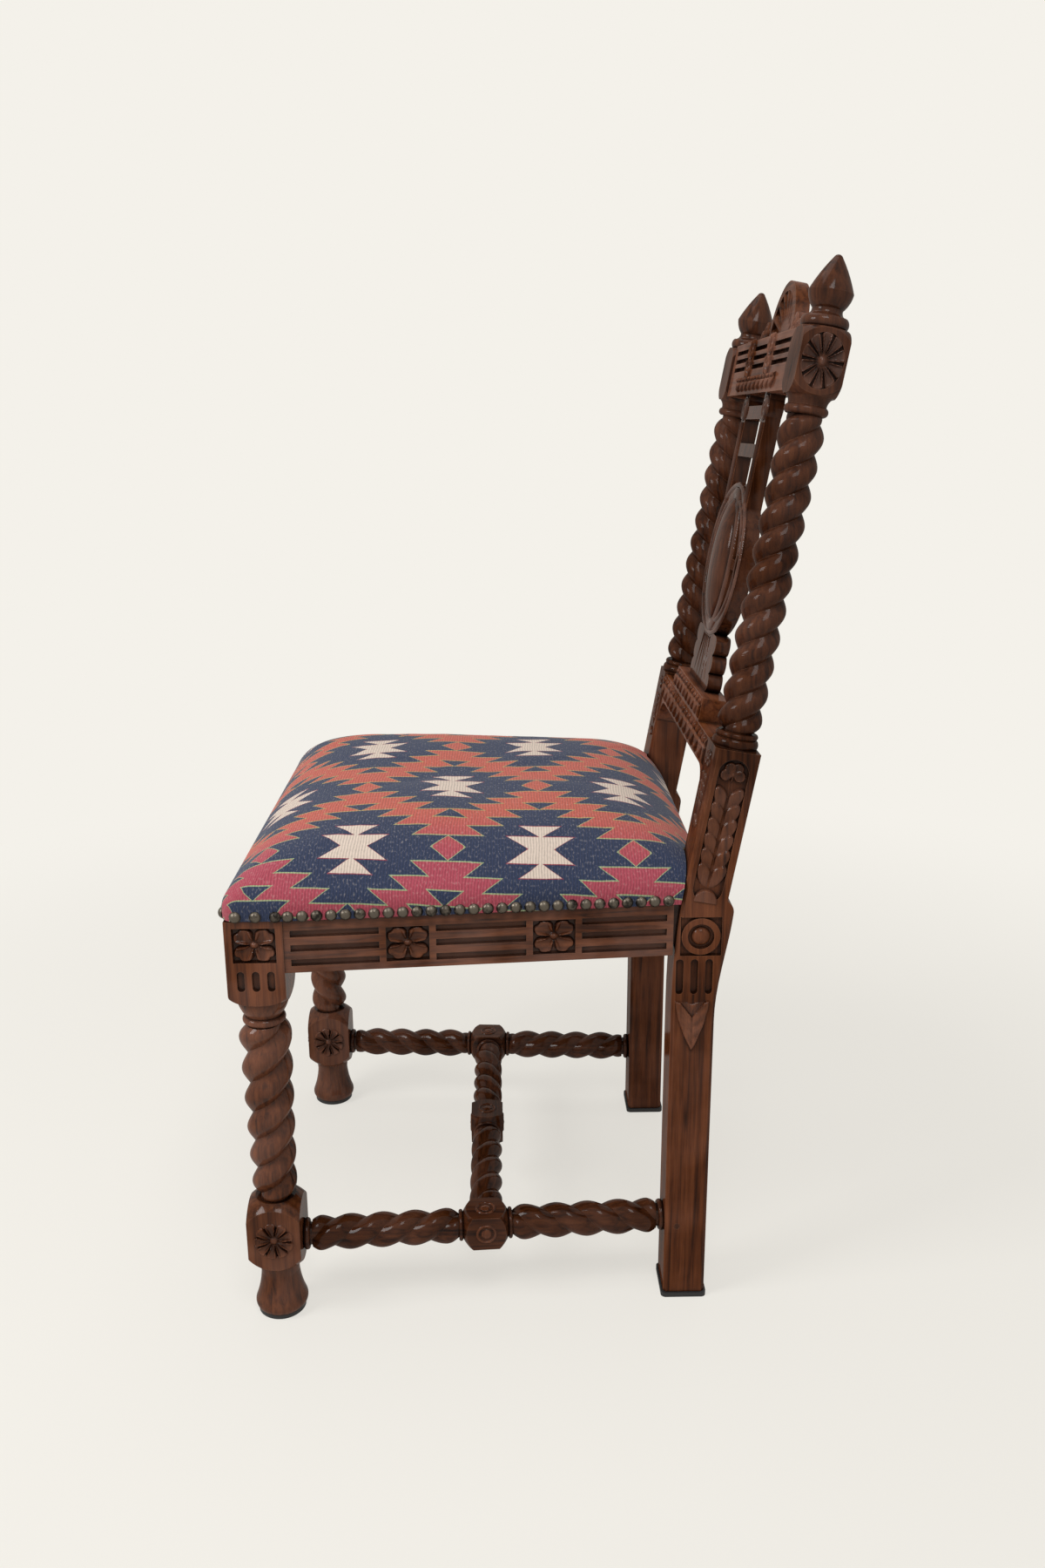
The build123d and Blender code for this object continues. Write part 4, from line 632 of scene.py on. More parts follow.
class CHAIR_OT_stage(bpy.types.Operator):
    """Lay the pale floor and set soft lights"""

    bl_idname = "chair.stage"
    bl_label = "Floor and lights"

    def execute(self, context):
        stage = context.scene.chair_stage
        context.scene.view_settings.view_transform = "Standard"
        pale = colour(stage.pale)

        world = bpy.data.worlds.new("pale_room")
        context.scene.world = world
        world.use_nodes = True
        tree = world.node_tree
        tree.nodes.clear()
        seen = seen_by_eye(tree)
        room = node(tree, "ShaderNodeBackground", {"Color": pale, "Strength": stage.room})
        backdrop = node(tree, "ShaderNodeBackground", {"Color": pale, "Strength": 1.0})
        mixed = node(tree, "ShaderNodeMixShader", {0: seen, 1: room, 2: backdrop})
        finish_surface(tree, node(tree, "ShaderNodeOutputWorld"), mixed)

        material, tree, output = blank_material("pale_floor")
        # far from the chair the floor fades into the backdrop, so that no horizon shows
        place = node(tree, "ShaderNodeNewGeometry").outputs["Position"]
        far = node(tree, "ShaderNodeVectorMath", {0: place}, operation="LENGTH")
        fade = node(
            tree, "ShaderNodeMapRange", {"Value": far.outputs["Value"], 1: 0.5, 2: 1.7, 3: 0.7, 4: 1.0},
            interpolation_type="SMOOTHSTEP",
        )
        glow_share = node(tree, "ShaderNodeMath", {0: seen_by_eye(tree), 1: fade}, operation="MULTIPLY")
        paint = node(tree, "ShaderNodeBsdfDiffuse", {"Color": pale})
        glow = node(tree, "ShaderNodeEmission", {"Color": pale, "Strength": 1.0})
        finish_surface(tree, output, node(tree, "ShaderNodeMixShader", {0: glow_share, 1: paint, 2: glow}))
        bpy.ops.mesh.primitive_grid_add(x_subdivisions=8, y_subdivisions=8, size=60)
        floor = context.object
        floor.name = "floor"
        give(floor, material)

        target = at(0, 0, 450)
        lamps = {
            "key_light": (stage.key, 0.9, at(900, -1900, 1900)),
            "fill_light": (stage.fill, 0.9, at(1500, 200, 2500)),
            "top_light": (stage.top, 1.3, at(-300, 0, 2500)),
        }
        for name, (power, size, place) in lamps.items():
            data = bpy.data.lights.new(name, "AREA")
            data.energy = power
            data.size = size
            lamp = bpy.data.objects.new(name, data)
            lamp.location = place
            lamp.rotation_euler = (target - place).to_track_quat("-Z", "Y").to_euler()
            context.scene.collection.objects.link(lamp)
        return {"FINISHED"}


class CHAIR_OT_frame_finish(bpy.types.Operator):
    """Finish the frame's woods, metals and glides"""

    bl_idname = "chair.frame_finish"
    bl_label = "Frame finish"

    def execute(self, context):
        for name, piece in NODES.items():
            shade_smooth(piece.data, 28)
            plain = [make for start, make in PLAIN.items() if name.startswith(start)]
            wood = [kind for start, kind in WOODS.items() if name.startswith(start)] or [OTHER_WOOD]
            give(piece, kept(plain[0].__name__, plain[0]) if plain else wood_for(*wood[0]))
        return {"FINISHED"}


def seat_outline(inset, corner):
    """Points of the seat's plan in millimetres at an inset, as many along each edge whatever the inset."""
    over_block = BLOCK_FACE + COVER_THICK
    over_rail = HALF_RAIL + COVER_THICK
    front_x = FRONT_X + over_block - inset
    front = FRONT_Y - over_block + inset
    rear = REAR_Y + over_rail - inset
    rear_x = REAR_X + POST_SIDE + COVER_THICK - inset - SIDE_SLOPE * (rear - SIDE_REAR)
    bend = max(SIDE_FRONT, front + 2 * corner)
    lean = atan2(front_x - rear_x, rear - bend)

    def run(start, end, count):
        return [(start[0] + (end[0] - start[0]) * i / count, start[1] + (end[1] - start[1]) * i / count)
                for i in range(count)]

    def turn(centre, start, end, count):
        return [(centre[0] + corner * cos(start + (end - start) * i / count),
                 centre[1] + corner * sin(start + (end - start) * i / count)) for i in range(count)]

    front_centre = (front_x - corner, front + corner)
    reach = corner / tan((pi / 2 + lean) / 2)
    tangent = (rear_x + sin(lean) * reach, rear - cos(lean) * reach)
    rear_centre = (tangent[0] - corner * cos(lean), tangent[1] - corner * sin(lean))
    right = run((0, front), (front_x - corner, front), 36)
    right += turn(front_centre, -pi / 2, 0, 10)
    right += run((front_x, front + corner), (front_x, bend), 8)
    right += run((front_x, bend), tangent, 56)
    right += turn(rear_centre, lean, pi / 2, 10)
    right += run((rear_centre[0], rear), (0, rear), 32)
    right.append((0, rear))
    left = [(-x, y) for x, y in reversed(right[1:-1])]
    return right + left


def shrunk(outline, share):
    """An outline drawn in to a share of its size."""
    centre_y = sum(y for _, y in outline) / len(outline)
    return [(x * share, centre_y + (y - centre_y) * share) for x, y in outline]


def notch_posts(cushion):
    """Cut the cushion round the two rear posts."""
    gap = 1.0
    width, height, depth = 90.0, 400.0, 160.0  # of the cut, which runs out of the cushion at the corner
    middle_up = 60.0
    cutter = bmesh.new()
    for side in (-1, 1):
        made = bmesh.ops.create_cube(cutter, size=1.0)["verts"]
        scale = Matrix.Diagonal((width * MM, height * MM, depth * MM, 1.0))
        inner, front = REAR_X - POST_SIDE - gap, POST_FRONT + gap
        place = on_back(side * (inner + width / 2), middle_up, front - depth / 2)
        bmesh.ops.transform(cutter, matrix=place @ scale, verts=made)
    tool = bpy.data.objects.new("post_notches", finished_mesh("post_notches", cutter))
    bpy.context.scene.collection.objects.link(tool)
    cut = cushion.modifiers.new("notches", "BOOLEAN")
    cut.object = tool
    cut.operation = "DIFFERENCE"
    cut.solver = "EXACT"
    bpy.context.view_layer.update()
    solid = cushion.evaluated_get(bpy.context.evaluated_depsgraph_get())
    result = bpy.data.meshes.new_from_object(solid)
    cushion.modifiers.clear()
    cushion.data = result
    bpy.data.objects.remove(tool)


def swell_out(cushion, seat_line, seat):
    """Let the stuffing press the nailed cover out by a cloth simulation, no further than the swell."""
    mesh = cushion.data
    frames = 20
    fade = 20 * MM  # height over which the cover comes free of its nails
    held = cushion.vertex_groups.new(name="nailed")
    before = [vert.co.copy() for vert in mesh.vertices]
    for vert in mesh.vertices:
        held.add([vert.index], max(0.0, min(1.0, 1 - (vert.co.z - seat_line) / fade)), "REPLACE")
    cloth = cushion.modifiers.new("stuffing", "CLOTH")
    settings = cloth.settings
    settings.vertex_group_mass = "nailed"
    settings.use_pressure = True
    settings.uniform_pressure_force = seat.pressure
    settings.tension_stiffness = 40
    settings.compression_stiffness = 40
    settings.shear_stiffness = 20
    settings.bending_stiffness = 2
    settings.effector_weights.gravity = 0
    cloth.point_cache.frame_start = 1
    cloth.point_cache.frame_end = frames
    scene = bpy.context.scene
    for step in range(frames):
        scene.frame_set(step + 1)
    swollen = cushion.evaluated_get(bpy.context.evaluated_depsgraph_get()).data
    after = [vert.co.copy() for vert in swollen.vertices]
    cushion.modifiers.clear()
    cushion.vertex_groups.clear()
    scene.frame_set(1)
    for vert, start, end in zip(mesh.vertices, before, after):
        move = end - start
        vert.co = start + move * min(1.0, seat.swell / max(move.length, 1e-9))


class CHAIR_OT_seat(bpy.types.Operator):
    """Stuff the seat and stretch its woven cover"""

    bl_idname = "chair.seat"
    bl_label = "Seat"

    def execute(self, context):
        seat = context.scene.chair_seat
        inset = seat.inset / MM
        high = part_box("seat_cover")[1]
        seat_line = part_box("seat_hessian")[1].z / MM
        crown = (high.z - seat.swell) / MM - seat_line
        over_nails = 1.5  # from the lowest points of the nails up to the cover's edge
        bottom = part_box("upholstery_nails")[0].z / MM + over_nails
        fullest, fullness = seat_line - 7.0, 0.3  # height at which the cover bulges most, and how far
        rounding = 40.0  # by which the corners' radius grows up to the crown
        draw_power = 0.85  # the smaller it is, the sooner the crown draws in
        steps, inner_steps = 26, 14  # rings over the side of the crown, and over its flat
        over_sacking = 0.3
        rings = [(bottom, 0.0, SEAT_CORNER), (fullest, -fullness, SEAT_CORNER)]
        for i in range(steps + 1):
            angle = pi / 2 * i / steps
            draw = inset * (1 - cos(angle)) ** draw_power
            rings.append((seat_line + crown * sin(angle), draw, SEAT_CORNER + rounding * (1 - cos(angle))))

        # flattened out, each ring lies as far from the crown's edge as the cloth runs to it
        flat = [inset]
        for (z0, draw0, _), (z1, draw1, _) in zip(reversed(rings[:-1]), reversed(rings[1:])):
            flat.append(flat[-1] - sqrt((z1 - z0) ** 2 + (draw1 - draw0) ** 2))
        flat.reverse()

        shape = bmesh.new()
        cloth = shape.loops.layers.uv.new("cloth")
        spread = {}

        def ring(points, z, reach):
            """A ring of the cover at a height, whose cloth reaches so far out of it when it lies flat."""
            row = []
            tilt = seat.lean * max(0.0, z - seat_line) / crown
            for (x0, y0), (x, y), (x1, y1) in zip(points[-1:] + points[:-1], points, points[1:] + points[:1]):
                vert = shape.verts.new(at(x, y, z - tilt * x))
                out = Vector((y1 - y0, x0 - x1)).normalized() * reach
                spread[vert] = ((y + out.y) * MM, (x + out.x) * MM)
                row.append(vert)
            return row

        rows = [
            ring(seat_outline(draw, corner), z, draw - out) for (z, draw, corner), out in zip(rings, flat)
        ]
        inner = seat_outline(inset, SEAT_CORNER + rounding)
        for i in range(1, inner_steps):
            rows.append(ring(shrunk(inner, 1 - i / inner_steps), seat_line + crown, 0.0))
        # the lap turns in under the nails and the stuffing closes on the sacking
        under = seat_outline(COVER_THICK, SEAT_CORNER - COVER_THICK)
        for z in (bottom, seat_line + over_sacking):
            rows.insert(0, ring(under, z, COVER_THICK - flat[0]))
        bridge(shape, rows)
        shape.faces.new(rows[-1])
        shape.faces.new(reversed(rows[0]))
        for face in shape.faces:
            for loop in face.loops:
                loop[cloth].uv = spread[loop.vert]
        data = finished_mesh("seat_cushion", shape)
        cushion = add_piece("seat_cushion", data, flat_woven_wool())
        swell_out(cushion, seat_line * MM, seat)
        notch_posts(cushion)
        shade_smooth(cushion.data, 50)
        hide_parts("seat_cover", "seat_pad")
        return {"FINISHED"}


class CHAIR_OT_webbing(bpy.types.Operator):
    """Stretch the webbing and the sacking under the seat"""

    bl_idname = "chair.webbing"
    bl_label = "Webbing and sacking"

    def execute(self, context):
        width, spacing = 50.0, 80.0
        up = (0, 0, 1)
        low, high = (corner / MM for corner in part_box("webbing_lengthwise"))
        middle_y = (low.y + high.y) / 2 - LEGS_Y / MM
        runs = [
            (facing(at(spacing * i, middle_y, low.z), (1, 0, 0), up), high.y - low.y)
            for i in (-1.5, -0.5, 0.5, 1.5)
        ]
        self.lay("lengthwise", runs, width, high.z - low.z, ["front_rail", "back_rail"])
        low, high = (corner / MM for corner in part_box("webbing_crosswise"))
        first = low.y - LEGS_Y / MM + width / 2
        count = 4
        pitch = (high.y - low.y - width) / (count - 1)
        runs = [
            (facing(at(0, first + pitch * i, low.z), (0, 1, 0), up), 2 * (high.x - SIDE_SLOPE * pitch * i))
            for i in range(count)
        ]
        self.lay("crosswise", runs, width, high.z - low.z, ["side_rail_left", "side_rail_right"])
        self.stretch_sacking()
        return {"FINISHED"}

    def lay(self, way, runs, width, thick, rails):
        """Make straps with round selvedges, each lying along the Y axis of its place."""
        rows = 60
        section = [(cos(pi / 2 + pi * i / 6), sin(pi / 2 + pi * i / 6)) for i in range(7)]
        half = thick / 2
        left = [(-width / 2 + half + half * c, half + half * s) for c, s in section]
        outline = left + [(-x, z) for x, z in reversed(left)]
        shape = bmesh.new()
        for place, length in runs:
            rings = []
            for row in range(rows + 1):
                y = length * (row / rows - 0.5)
                rings.append([shape.verts.new(place @ (Vector((x, y, z)) * MM)) for x, z in outline])
            bridge(shape, rings)
            shape.faces.new(reversed(rings[0]))
            shape.faces.new(rings[-1])
        mesh = finished_mesh("webbing_straps_" + way, shape)
        shade_smooth(mesh, 50)
        material = kept("jute_webbing", jute, "jute_webbing", 2.2 * MM, "#C2A878", "#6E5836")
        straps = add_piece("webbing_straps_" + way, mesh, material)
        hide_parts("webbing_" + way)

    def stretch_sacking(self):
        """Make the sheet of sacking over the webbing."""
        low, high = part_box("seat_hessian")
        inset, steps = 5.0, 16
        outline = seat_outline(inset, SEAT_CORNER)
        shape = bmesh.new()
        layers = []
        for z in (low.z / MM, high.z / MM):
            rings = [
                [shape.verts.new(at(x, y, z)) for x, y in shrunk(outline, 1 - i / steps)]
                for i in range(steps)
            ]
            bridge(shape, rings)
            shape.faces.new(rings[-1])
            layers.append(rings)
        bridge(shape, [rings[0] for rings in layers])
        material = kept("hessian_sacking", jute, "hessian_sacking", 1.8 * MM, "#B79A6A", "#6B5433")
        sacking = add_piece("seat_sacking", finished_mesh("seat_sacking", shape), material)
        notch_posts(sacking)
        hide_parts("seat_hessian")


GROUND = 0.5  # how far a carving's floor lies under the ground that it stands on, in millimetres


def relief(size, shape, pitch=0.7):
    """Points and faces in millimetres of a carved patch, closed below, where its shape tops the ground."""
    columns, lines = (max(4, round(side / pitch)) for side in size)
    u, v = np.meshgrid(
        np.linspace(-size[0] / 2, size[0] / 2, columns + 1), np.linspace(-size[1] / 2, size[1] / 2, lines + 1)
    )
    height = np.maximum(shape(u, v), -GROUND / 2)
    raised = height > 0
    cells = raised[:-1, :-1] | raised[1:, :-1] | raised[:-1, 1:] | raised[1:, 1:]
    index = np.arange(u.size).reshape(u.shape)
    corners = np.stack([index[:-1, :-1], index[:-1, 1:], index[1:, 1:], index[1:, :-1]], -1)
    faces = [corners[cells], corners[cells][:, ::-1] + u.size]
    framed = np.pad(cells, 1)
    for k, (i, j) in enumerate(((0, 1), (1, 2), (2, 1), (1, 0))):
        open_side = cells & ~framed[i:i + lines, j:j + columns]
        a, b = corners[..., k][open_side], corners[..., (k + 1) % 4][open_side]
        faces.append(np.stack([b, a, a + u.size, b + u.size], -1))
    top = np.stack([u, v, height], -1).reshape(-1, 3)
    floor = np.stack([u, v, np.full_like(u, -GROUND)], -1).reshape(-1, 3)
    used, faces = np.unique(np.concatenate(faces), return_inverse=True)
    return np.concatenate([top, floor])[used], faces.reshape(-1, 4)


def carving(name, patches, material):
    """One piece made of carved patches, each with its place."""
    points, faces, count = [], [], 0
    for place, (patch_points, patch_faces) in patches:
        matrix = np.array(place)
        points.append(patch_points * MM @ matrix[:3, :3].T + matrix[:3, 3])
        faces.append(patch_faces + count)
        count += len(patch_points)
    mesh = bpy.data.meshes.new(name)
    mesh.from_pydata(np.concatenate(points).tolist(), [], np.concatenate(faces).tolist())
    shade_smooth(mesh, 42)
    return add_piece(name, mesh, material)


def upright(origin, out):
    """The matrix of an upright face that looks out."""
    return facing(origin, Vector((0, 0, 1)).cross(Vector(out)), out)


def fall(share, width):
    """One inside a shape and minus one outside it, with a steep round edge where the share reaches one."""
    edge = np.clip((1 - share) / width, -1, 1)
    return np.sign(edge) * np.sqrt(np.abs(edge))


def hump(far, radius, rise):
    """A round boss or bead."""
    return rise * fall(far / radius, 1.0)


def hollow_petal(out, aside, rise):
    """A petal scooped out inside its rim.

    Out runs from its heart to its tip, and aside from its middle to the next petal.
    """
    rim = np.maximum(np.clip(out, 0, 1) ** 4, np.exp(-(((aside - 0.68) / 0.2) ** 2)))
    valley = np.clip((1 - aside) / 0.24, 0.15, 1)
    return rise * (0.3 + 0.7 * rim) * valley * np.clip((out - 0.12) / 0.3, 0.2, 1)


def rose(half_width, half_height, rise):
    """Four broad hollow petals on the diagonals, with curled rims, round a small heart."""
    def shape(u, v):
        x, y = u / half_width, v / half_height
        radius, angle = np.hypot(x, y), np.arctan2(y, x)
        off = angle % (pi / 2) - pi / 4
        lobe = np.clip(np.cos(2 * off), 0, 1)
        share = radius / (0.55 + 0.7 * lobe ** 0.6 - 0.12 * np.exp(-((off / 0.14) ** 2)))
        petal = hollow_petal(share, np.abs(off) / (pi / 4), rise)
        return np.maximum(petal * fall(share, 0.1), hump(radius, 0.22, rise))
    return shape


def daisy(half_width, half_height, petals, rise):
    """A round flower of many hollow petals with a boss."""
    def shape(u, v):
        x, y = u / half_width, v / half_height
        radius, angle = np.hypot(x, y), np.arctan2(y, x)
        aside = np.abs((angle * petals / (2 * pi)) % 1 - 0.5) * 2
        share = radius / (0.84 + 0.16 * np.sqrt(1 - aside ** 2))
        petal = hollow_petal(share, aside, rise)
        return np.maximum(petal * fall(share, 0.1), hump(radius, 0.19, rise * 0.9))
    return shape


def spray(width, length, pairs, rise):
    """A stem with pairs of overlapping leaves, over a plain round foot and under a lobed flower."""
    lean = radians(27)
    foot, head = width * 0.5, width * 0.5
    pitch = (length - foot - head - width * 0.8) / pairs
    leaf_length, leaf_half = pitch * 1.8, width * 0.25

    def shape(u, v):
        up = v + length / 2
        result = np.where((up > foot) & (up < length - head), hump(np.abs(u), 1.3, rise * 0.5), -1.0)
        for i in range(pairs):
            for side in (-1, 1):
                x, y = side * u, up - foot - pitch * i
                along = (x * sin(lean) + y * cos(lean)) / leaf_length
                across = (x * cos(lean) - y * sin(lean)) / leaf_half
                share = np.hypot(across, (along - 0.5) / 0.5)
                leaf = rise * (0.06 + 0.98 * np.clip(along, 0, 1) ** 1.2)
                result = np.maximum(result, leaf * fall(share, 0.2))
        result -= 0.6 * rise * np.exp(-((u / 1.0) ** 2)) * (up > foot) * (up < length - head - 0.25 * width)
        for turn in (-10, 58, 122, 190):
            petal_x = 0.25 * width * cos(radians(turn))
            petal_y = length - head + 0.25 * width * sin(radians(turn))
            share = np.hypot(u - petal_x, up - petal_y) / (0.21 * width)
            result = np.maximum(result, rise * (0.3 + 0.6 * np.clip(share, 0, 1) ** 2) * fall(share, 0.2))
        heart = hump(np.hypot(u, up - length + head), 0.12 * width, rise)
        base = rise * fall(np.hypot(u, up) / (width * 0.44), 0.1)
        return np.maximum(np.maximum(result, heart), base)
    return shape


def drop_leaf(half_width, length, rise):
    """A leaf that hangs tip down, with a hollow fold at the top and veins to both sides."""
    def shape(u, v):
        down = np.clip((length / 2 - v) / length, 0, 1)
        side = np.abs(u)
        reach = half_width * (1 - down) ** 1.1 * (1 + down)
        share = np.maximum(side / np.maximum(reach, 0.01), 1.12 - (down - 0.05 * (1 - side / half_width)) * 3)
        veins = np.cos(2 * pi * (down * length + side * 0.9) / 12.0)
        fold = side / (0.85 * half_width) + down / 0.34
        height = rise * (0.82 + 0.16 * veins * (fold > 1))
        height -= 0.62 * rise * np.clip(fold * 1.4, 0, 1) * (fold < 1)
        return (height - 0.15 * rise * np.exp(-((u / 1.0) ** 2)) * (fold > 1)) * fall(share, 0.14)
    return shape


def frieze(height, period, rise):
    """A row of beads over a row of veined teeth."""
    def shape(u, v):
        up = v / height + 0.5
        off = np.abs(u / period - np.round(u / period))
        share = np.maximum((0.66 - up) / np.maximum(0.62 * (1 - 1.7 * off), 0.01), (up - 0.3) / 0.38)
        teeth = rise * (1.0 - 0.9 * off - 0.3 * np.exp(-((off * period / 0.7) ** 2))) * fall(share, 0.2)
        bead = period * 0.75
        along = (u / bead - np.round(u / bead)) * bead
        beads = hump(np.hypot(along, (up - 0.83) * height), min(bead * 0.44, height * 0.15), rise)
        return np.maximum(teeth, beads)
    return shape


def ring_and_boss(radius, rise):
    """A turned ring round a boss."""
    def shape(u, v):
        far = np.hypot(u, v)
        ring = hump(np.abs(far - radius * 0.86), radius * 0.14, rise)
        return np.maximum(ring, hump(far, radius * 0.5, rise * 1.4))
    return shape


def volute(radius, hand, rise):
    """A scroll that winds in to an eye."""
    def shape(u, v):
        far = np.hypot(u, v) / radius
        turn = np.arctan2(v, hand * u) / (2 * pi)
        wind = np.abs((far * 2.1 - turn) % 1 - 0.5) * 2
        coil = rise * (0.25 + 0.75 * wind ** 0.6) * fall(far, 0.12)
        return np.maximum(coil, hump(far, 0.24, rise * 1.3))
    return shape


def oval_ring(half_width, half_height, band, rise):
    """A half-round bead along an ellipse."""
    def shape(u, v):
        far = np.hypot(u / half_width, v / half_height)
        return hump(np.abs(far - 1) * min(half_width, half_height), band, rise)
    return shape


def bead_line(rise):
    """A half-round bead that runs up the patch."""
    def shape(u, v):
        return hump(np.abs(u), 3.2, rise)
    return shape


class CHAIR_OT_panel_flowers(bpy.types.Operator):
    """Carve the four-petalled flowers of the seat frame"""

    bl_idname = "chair.panel_flowers"
    bl_label = "Panel flowers"

    def execute(self, context):
        sunk = 4.0  # the panels' floors lie this far under the faces
        leg_height, rail_height = 405.5, 402.0
        front_x, side_places = 68.8, (-65.0, 71.0)
        rail_face = BLOCK_FACE - SETBACK
        flower = relief((39.0, 33.0), rose(18.6, 15.6, 4.2), 0.6)
        ahead = (0, -1, 0)
        legs, sides, front = [], [], []
        for side in (-1, 1):
            face = at(side * (FRONT_X + BLOCK_FACE - sunk), FRONT_Y, leg_height)
            legs.append((upright(face, (side, 0, 0)), flower))
            face = at(side * FRONT_X, FRONT_Y - BLOCK_FACE + sunk, leg_height)
            legs.append((upright(face, ahead), flower))
            face = at(side * front_x, FRONT_Y - rail_face + sunk, rail_height)
            front.append((upright(face, ahead), flower))
            out = Vector((side, SIDE_SLOPE, 0)).normalized()
            for y in side_places:
                x = FRONT_X + rail_face - SIDE_SLOPE * (y - SIDE_FRONT)
                sides.append((upright(at(side * x, y, rail_height) - out * sunk * MM, out), flower))
        carving("leg_flowers", legs, wood_for("z", "carved"))
        carving("side_rail_flowers", sides, wood_for("y", "carved"))
        carving("front_rail_flowers", front, wood_for("x", "carved"))
        return {"FINISHED"}


class CHAIR_OT_block_flowers(bpy.types.Operator):
    """Carve the round flowers of the turned blocks"""

    bl_idname = "chair.block_flowers"
    bl_label = "Block flowers"

    def execute(self, context):
        sunk = 2.0  # the flowers' floors lie this far under the faces
        low_height, low_face = 92.5, 26.0  # of the front legs' lower blocks: middle, and axis to face
        low_flower = relief((42.0, 42.0), daisy(20.5, 20.5, 9, 4.2), 0.55)
        joint_x, joint_y, joint_height, joint_face = 196.3, 2.5, 82.0, 18.0  # of the stretchers' blocks
        small = relief((24.0, 24.0), ring_and_boss(10.5, 1.3), 0.5)
        slant = (FRONT_X - REAR_X) / (REAR_Y - FRONT_Y)  # of the side stretchers
        along, over = Vector((1, 0, 0)), Vector((0, 0, 1))
        low, turned = [], []
        for side in (-1, 1):
            for out in ((side, 0, 0), (-side, 0, 0), (0, -1, 0)):
                face = at(side * FRONT_X, FRONT_Y, low_height) + Vector(out) * (low_face - sunk) * MM
                low.append((upright(face, out), low_flower))
            out = Vector((side, slant, 0)).normalized()
            block = at(side * joint_x, joint_y, joint_height)
            turned.append((upright(block + out * joint_face * MM, out), small))
            turned.append((facing(block + over * joint_face * MM, along, over), small))
        cross = at(0, joint_y, joint_height)
        turned.append((facing(cross + over * joint_face * MM, along, over), small))
        for out in ((0, -1, 0), (0, 1, 0)):
            turned.append((upright(cross + Vector(out) * joint_face * MM, out), small))
        carving("leg_daisies", low, wood_for("z", "carved"))
        carving("stretcher_rings", turned, wood_for("z", "carved"))

        top_up, top_face = 342.0, 22.0  # of the posts' upper blocks: middle up the column, and axis to face
        medallion = relief((42.0, 51.0), daisy(20.2, 25.0, 10, 4.2), 0.55)
        up = Vector((0, sin(RAKE), cos(RAKE)))
        tops = []
        for side in (-1, 1):
            out = along * side * cos(LEAN) + up * sin(LEAN)
            column = up * cos(LEAN) - along * side * sin(LEAN)
            foot = at(side * REAR_X, REAR_Y, BEND_HEIGHT) + up * PANEL_END * MM
            face = foot + (column * top_up + out * (top_face - sunk)) * MM
            tops.append((facing(face, up.cross(out), out), medallion))
        carving("post_daisies", tops, wood_for("z", "carved"))
        return {"FINISHED"}


class CHAIR_OT_post_leaves(bpy.types.Operator):
    """Carve the leaf sprays, hanging leaves and roundels of the rear posts"""

    bl_idname = "chair.post_leaves"
    bl_label = "Post leaves"

    def execute(self, context):
        start, end, deep = 43.9, PANEL_END - 8.0, 3.0  # of the side panel up the rake, and its depth
        panel = relief((27.0, end - start - 1), spray(26.6, end - start - 2, 6, 4.2))
        narrow_start, narrow_end = 112.0, PANEL_END - 6.0
        narrow_long = narrow_end - narrow_start
        narrow = relief((24.0, narrow_long), spray(22.0, narrow_long, 4, 2.0))
        leaf_y, leaf_height = REAR_Y - 1, 306.0
        leaf = relief((36.0, 56.0), drop_leaf(16.5, 54.0, 4.2), 0.6)
        up = Vector((0, sin(RAKE), cos(RAKE)))
        sprays, leaves = [], []
        for side in (-1, 1):
            out = Vector((side, 0, 0))
            bend = at(side * (REAR_X + POST_SIDE - deep), REAR_Y, BEND_HEIGHT)
            sprays.append((facing(bend + up * (start + end) / 2 * MM, up.cross(out), out), panel))
            sprays.append((on_back(side * REAR_X, (narrow_start + narrow_end) / 2, POST_FRONT), narrow))
            leaves.append((upright(at(side * (REAR_X + POST_SIDE), leaf_y, leaf_height), out), leaf))
        carving("post_sprays", sprays, wood_for("z", "carved"))
        carving("post_hanging_leaves", leaves, wood_for("z", "carved"))
        return {"FINISHED"}


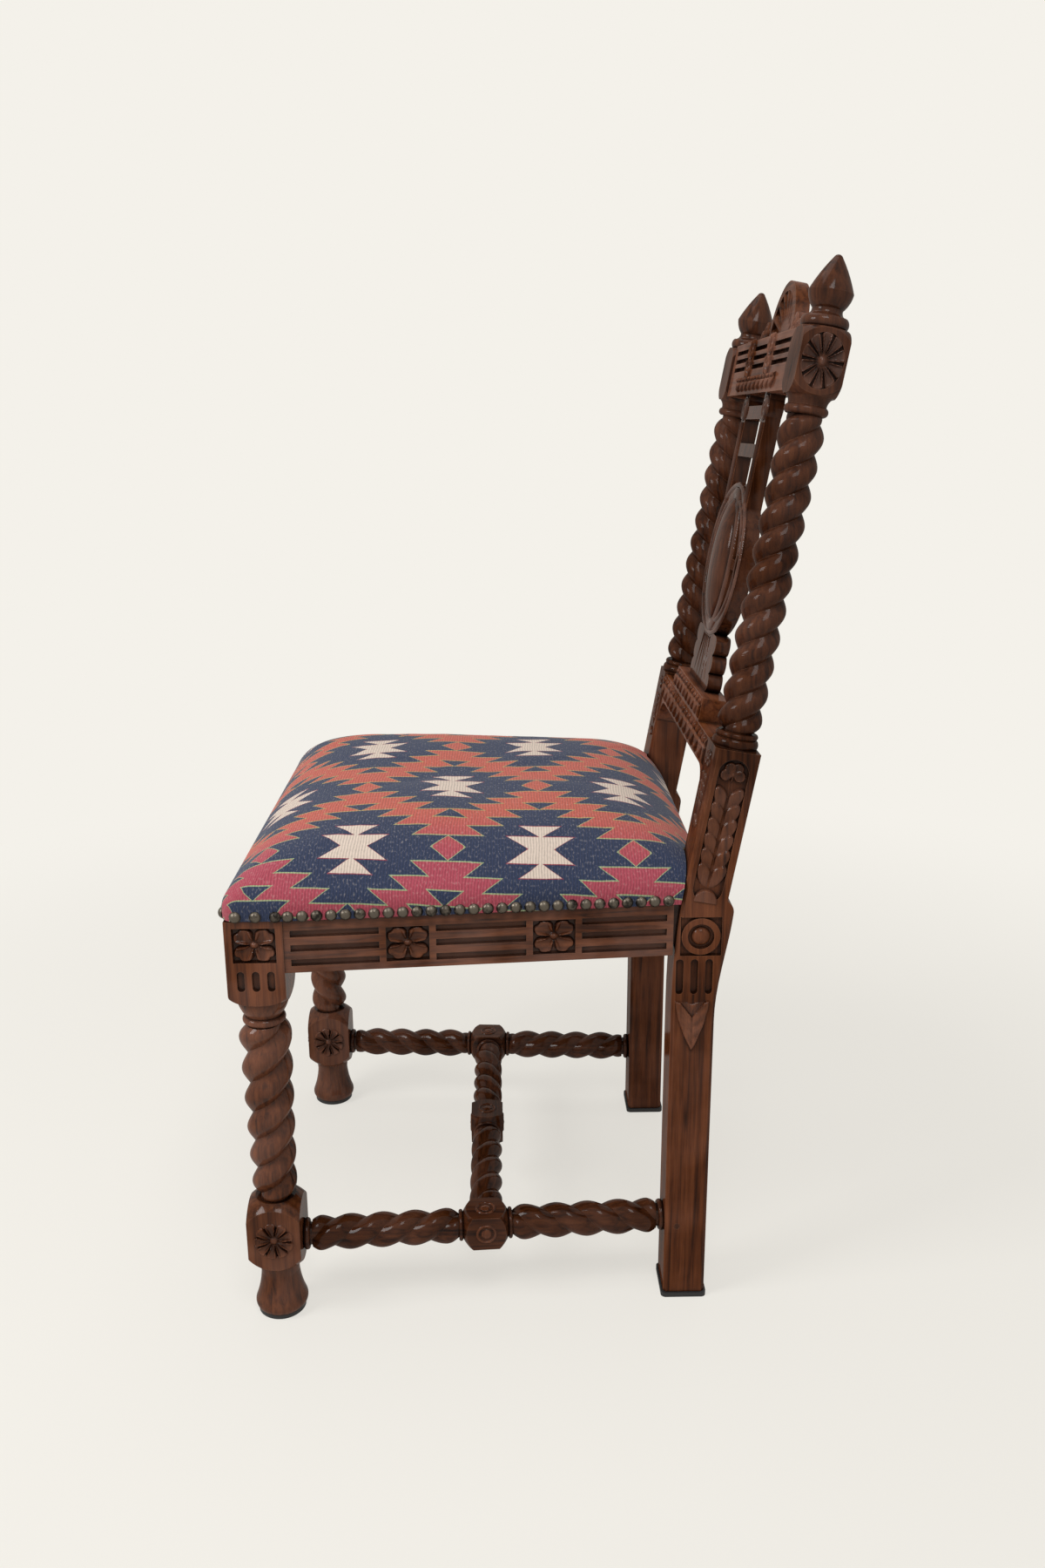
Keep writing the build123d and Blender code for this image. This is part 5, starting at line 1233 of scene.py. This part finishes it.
class CHAIR_OT_back_carving(bpy.types.Operator):
    """Carve the friezes, scrolls and beads of the back"""

    bl_idname = "chair.back_carving"
    bl_label = "Back carving"

    def execute(self, context):
        crest_front, rail_front, splat_front, fan_front = 18.0, 19.5, 12.0, 4.0
        teeth_up, fleuron_up, fleuron_x = CREST_TOP - 43, CREST_TOP - 18, 48.0
        fleuron = relief((24.0, 42.0), rose(10.5, 19.0, 3.0))
        teeth = relief((190.0, 17.0), frieze(16.0, 21.0, 3.2))
        scrolls = {65.9: 11.0, 82.2: 7.5}  # radius of each scroll beside the fan, by its place
        crest = [(on_back(0, teeth_up, crest_front), teeth)]
        for side in (-1, 1):
            crest.append((on_back(side * fleuron_x, fleuron_up, crest_front), fleuron))
            for x, radius in scrolls.items():
                scroll = relief((2 * radius, 2 * radius), volute(radius, side, 1.6), 0.5)
                crest.append((on_back(side * x, CREST_TOP + radius, fan_front), scroll))
        carving("crest_carving", crest, wood_for("x", "back"))

        lower_up, upper_up = 175.0, 202.0
        lower = relief((314.0, 29.0), frieze(28.0, 26.0, 3.4))
        upper = relief((172.0, 23.0), frieze(22.0, 21.0, 3.2))
        rail = [(on_back(0, lower_up, rail_front), lower), (on_back(0, upper_up, rail_front), upper)]
        carving("lower_rail_carving", rail, wood_for("x", "back"))

        oval_up, stile_up, knob_up, stile_x = 344.3, 440.0, 496.0, 52.0
        ring = relief((96.0, 146.0), oval_ring(41.0, 67.5, 4.5, 2.6))
        strap_outside = relief((180.0, 160.0), oval_ring(85.5, 75.5, 2.6, 1.8))
        strap_inside = relief((150.0, 130.0), oval_ring(73.5, 63.5, 2.4, 1.8))
        stile = relief((8.0, 84.0), bead_line(2.4))
        splat = [(on_back(0, oval_up, splat_front), patch) for patch in (ring, strap_outside, strap_inside)]
        for side in (-1, 1):
            knob = relief((26.0, 26.0), volute(12.6, side, 2.0), 0.5)
            splat.append((on_back(side * stile_x, stile_up, splat_front), stile))
            splat.append((on_back(side * stile_x, knob_up, splat_front), knob))
        carving("splat_carving", splat, wood_for("z", "carved"))
        return {"FINISHED"}


OPERATORS = (
    CHAIR_OT_camera, CHAIR_OT_stage, CHAIR_OT_frame_finish, CHAIR_OT_seat, CHAIR_OT_webbing,
    CHAIR_OT_panel_flowers, CHAIR_OT_block_flowers, CHAIR_OT_post_leaves, CHAIR_OT_back_carving,
)


class CHAIR_PT_panel(bpy.types.Panel):
    """Lists the chair's settings and steps"""

    bl_idname = "CHAIR_PT_panel"
    bl_label = "Carved side chair"
    bl_space_type = "VIEW_3D"
    bl_region_type = "UI"
    bl_category = "Chair"

    def draw(self, context):
        for group in (context.scene.chair_wood, context.scene.chair_seat, context.scene.chair_stage):
            box = self.layout.box()
            for name in group.__annotations__:
                box.prop(group, name)
        for operator in OPERATORS:
            self.layout.operator(operator.bl_idname)


GROUPS = {"chair_wood": ChairWood, "chair_seat": ChairSeat, "chair_stage": ChairStage}


def register():
    """Register the settings, operators and panel."""
    for name, group in GROUPS.items():
        bpy.utils.register_class(group)
        setattr(bpy.types.Scene, name, PointerProperty(type=group))
    for operator in OPERATORS:
        bpy.utils.register_class(operator)
    bpy.utils.register_class(CHAIR_PT_panel)


def unregister():
    """Take the settings, operators and panel away again."""
    bpy.utils.unregister_class(CHAIR_PT_panel)
    for operator in reversed(OPERATORS):
        bpy.utils.unregister_class(operator)
    for name, group in GROUPS.items():
        delattr(bpy.types.Scene, name)
        bpy.utils.unregister_class(group)


def main():
    """Dress the chair."""
    register()
    for operator in OPERATORS:
        group, name = operator.bl_idname.split(".")
        getattr(getattr(bpy.ops, group), name)()


if __name__ == "__main__":
    main()
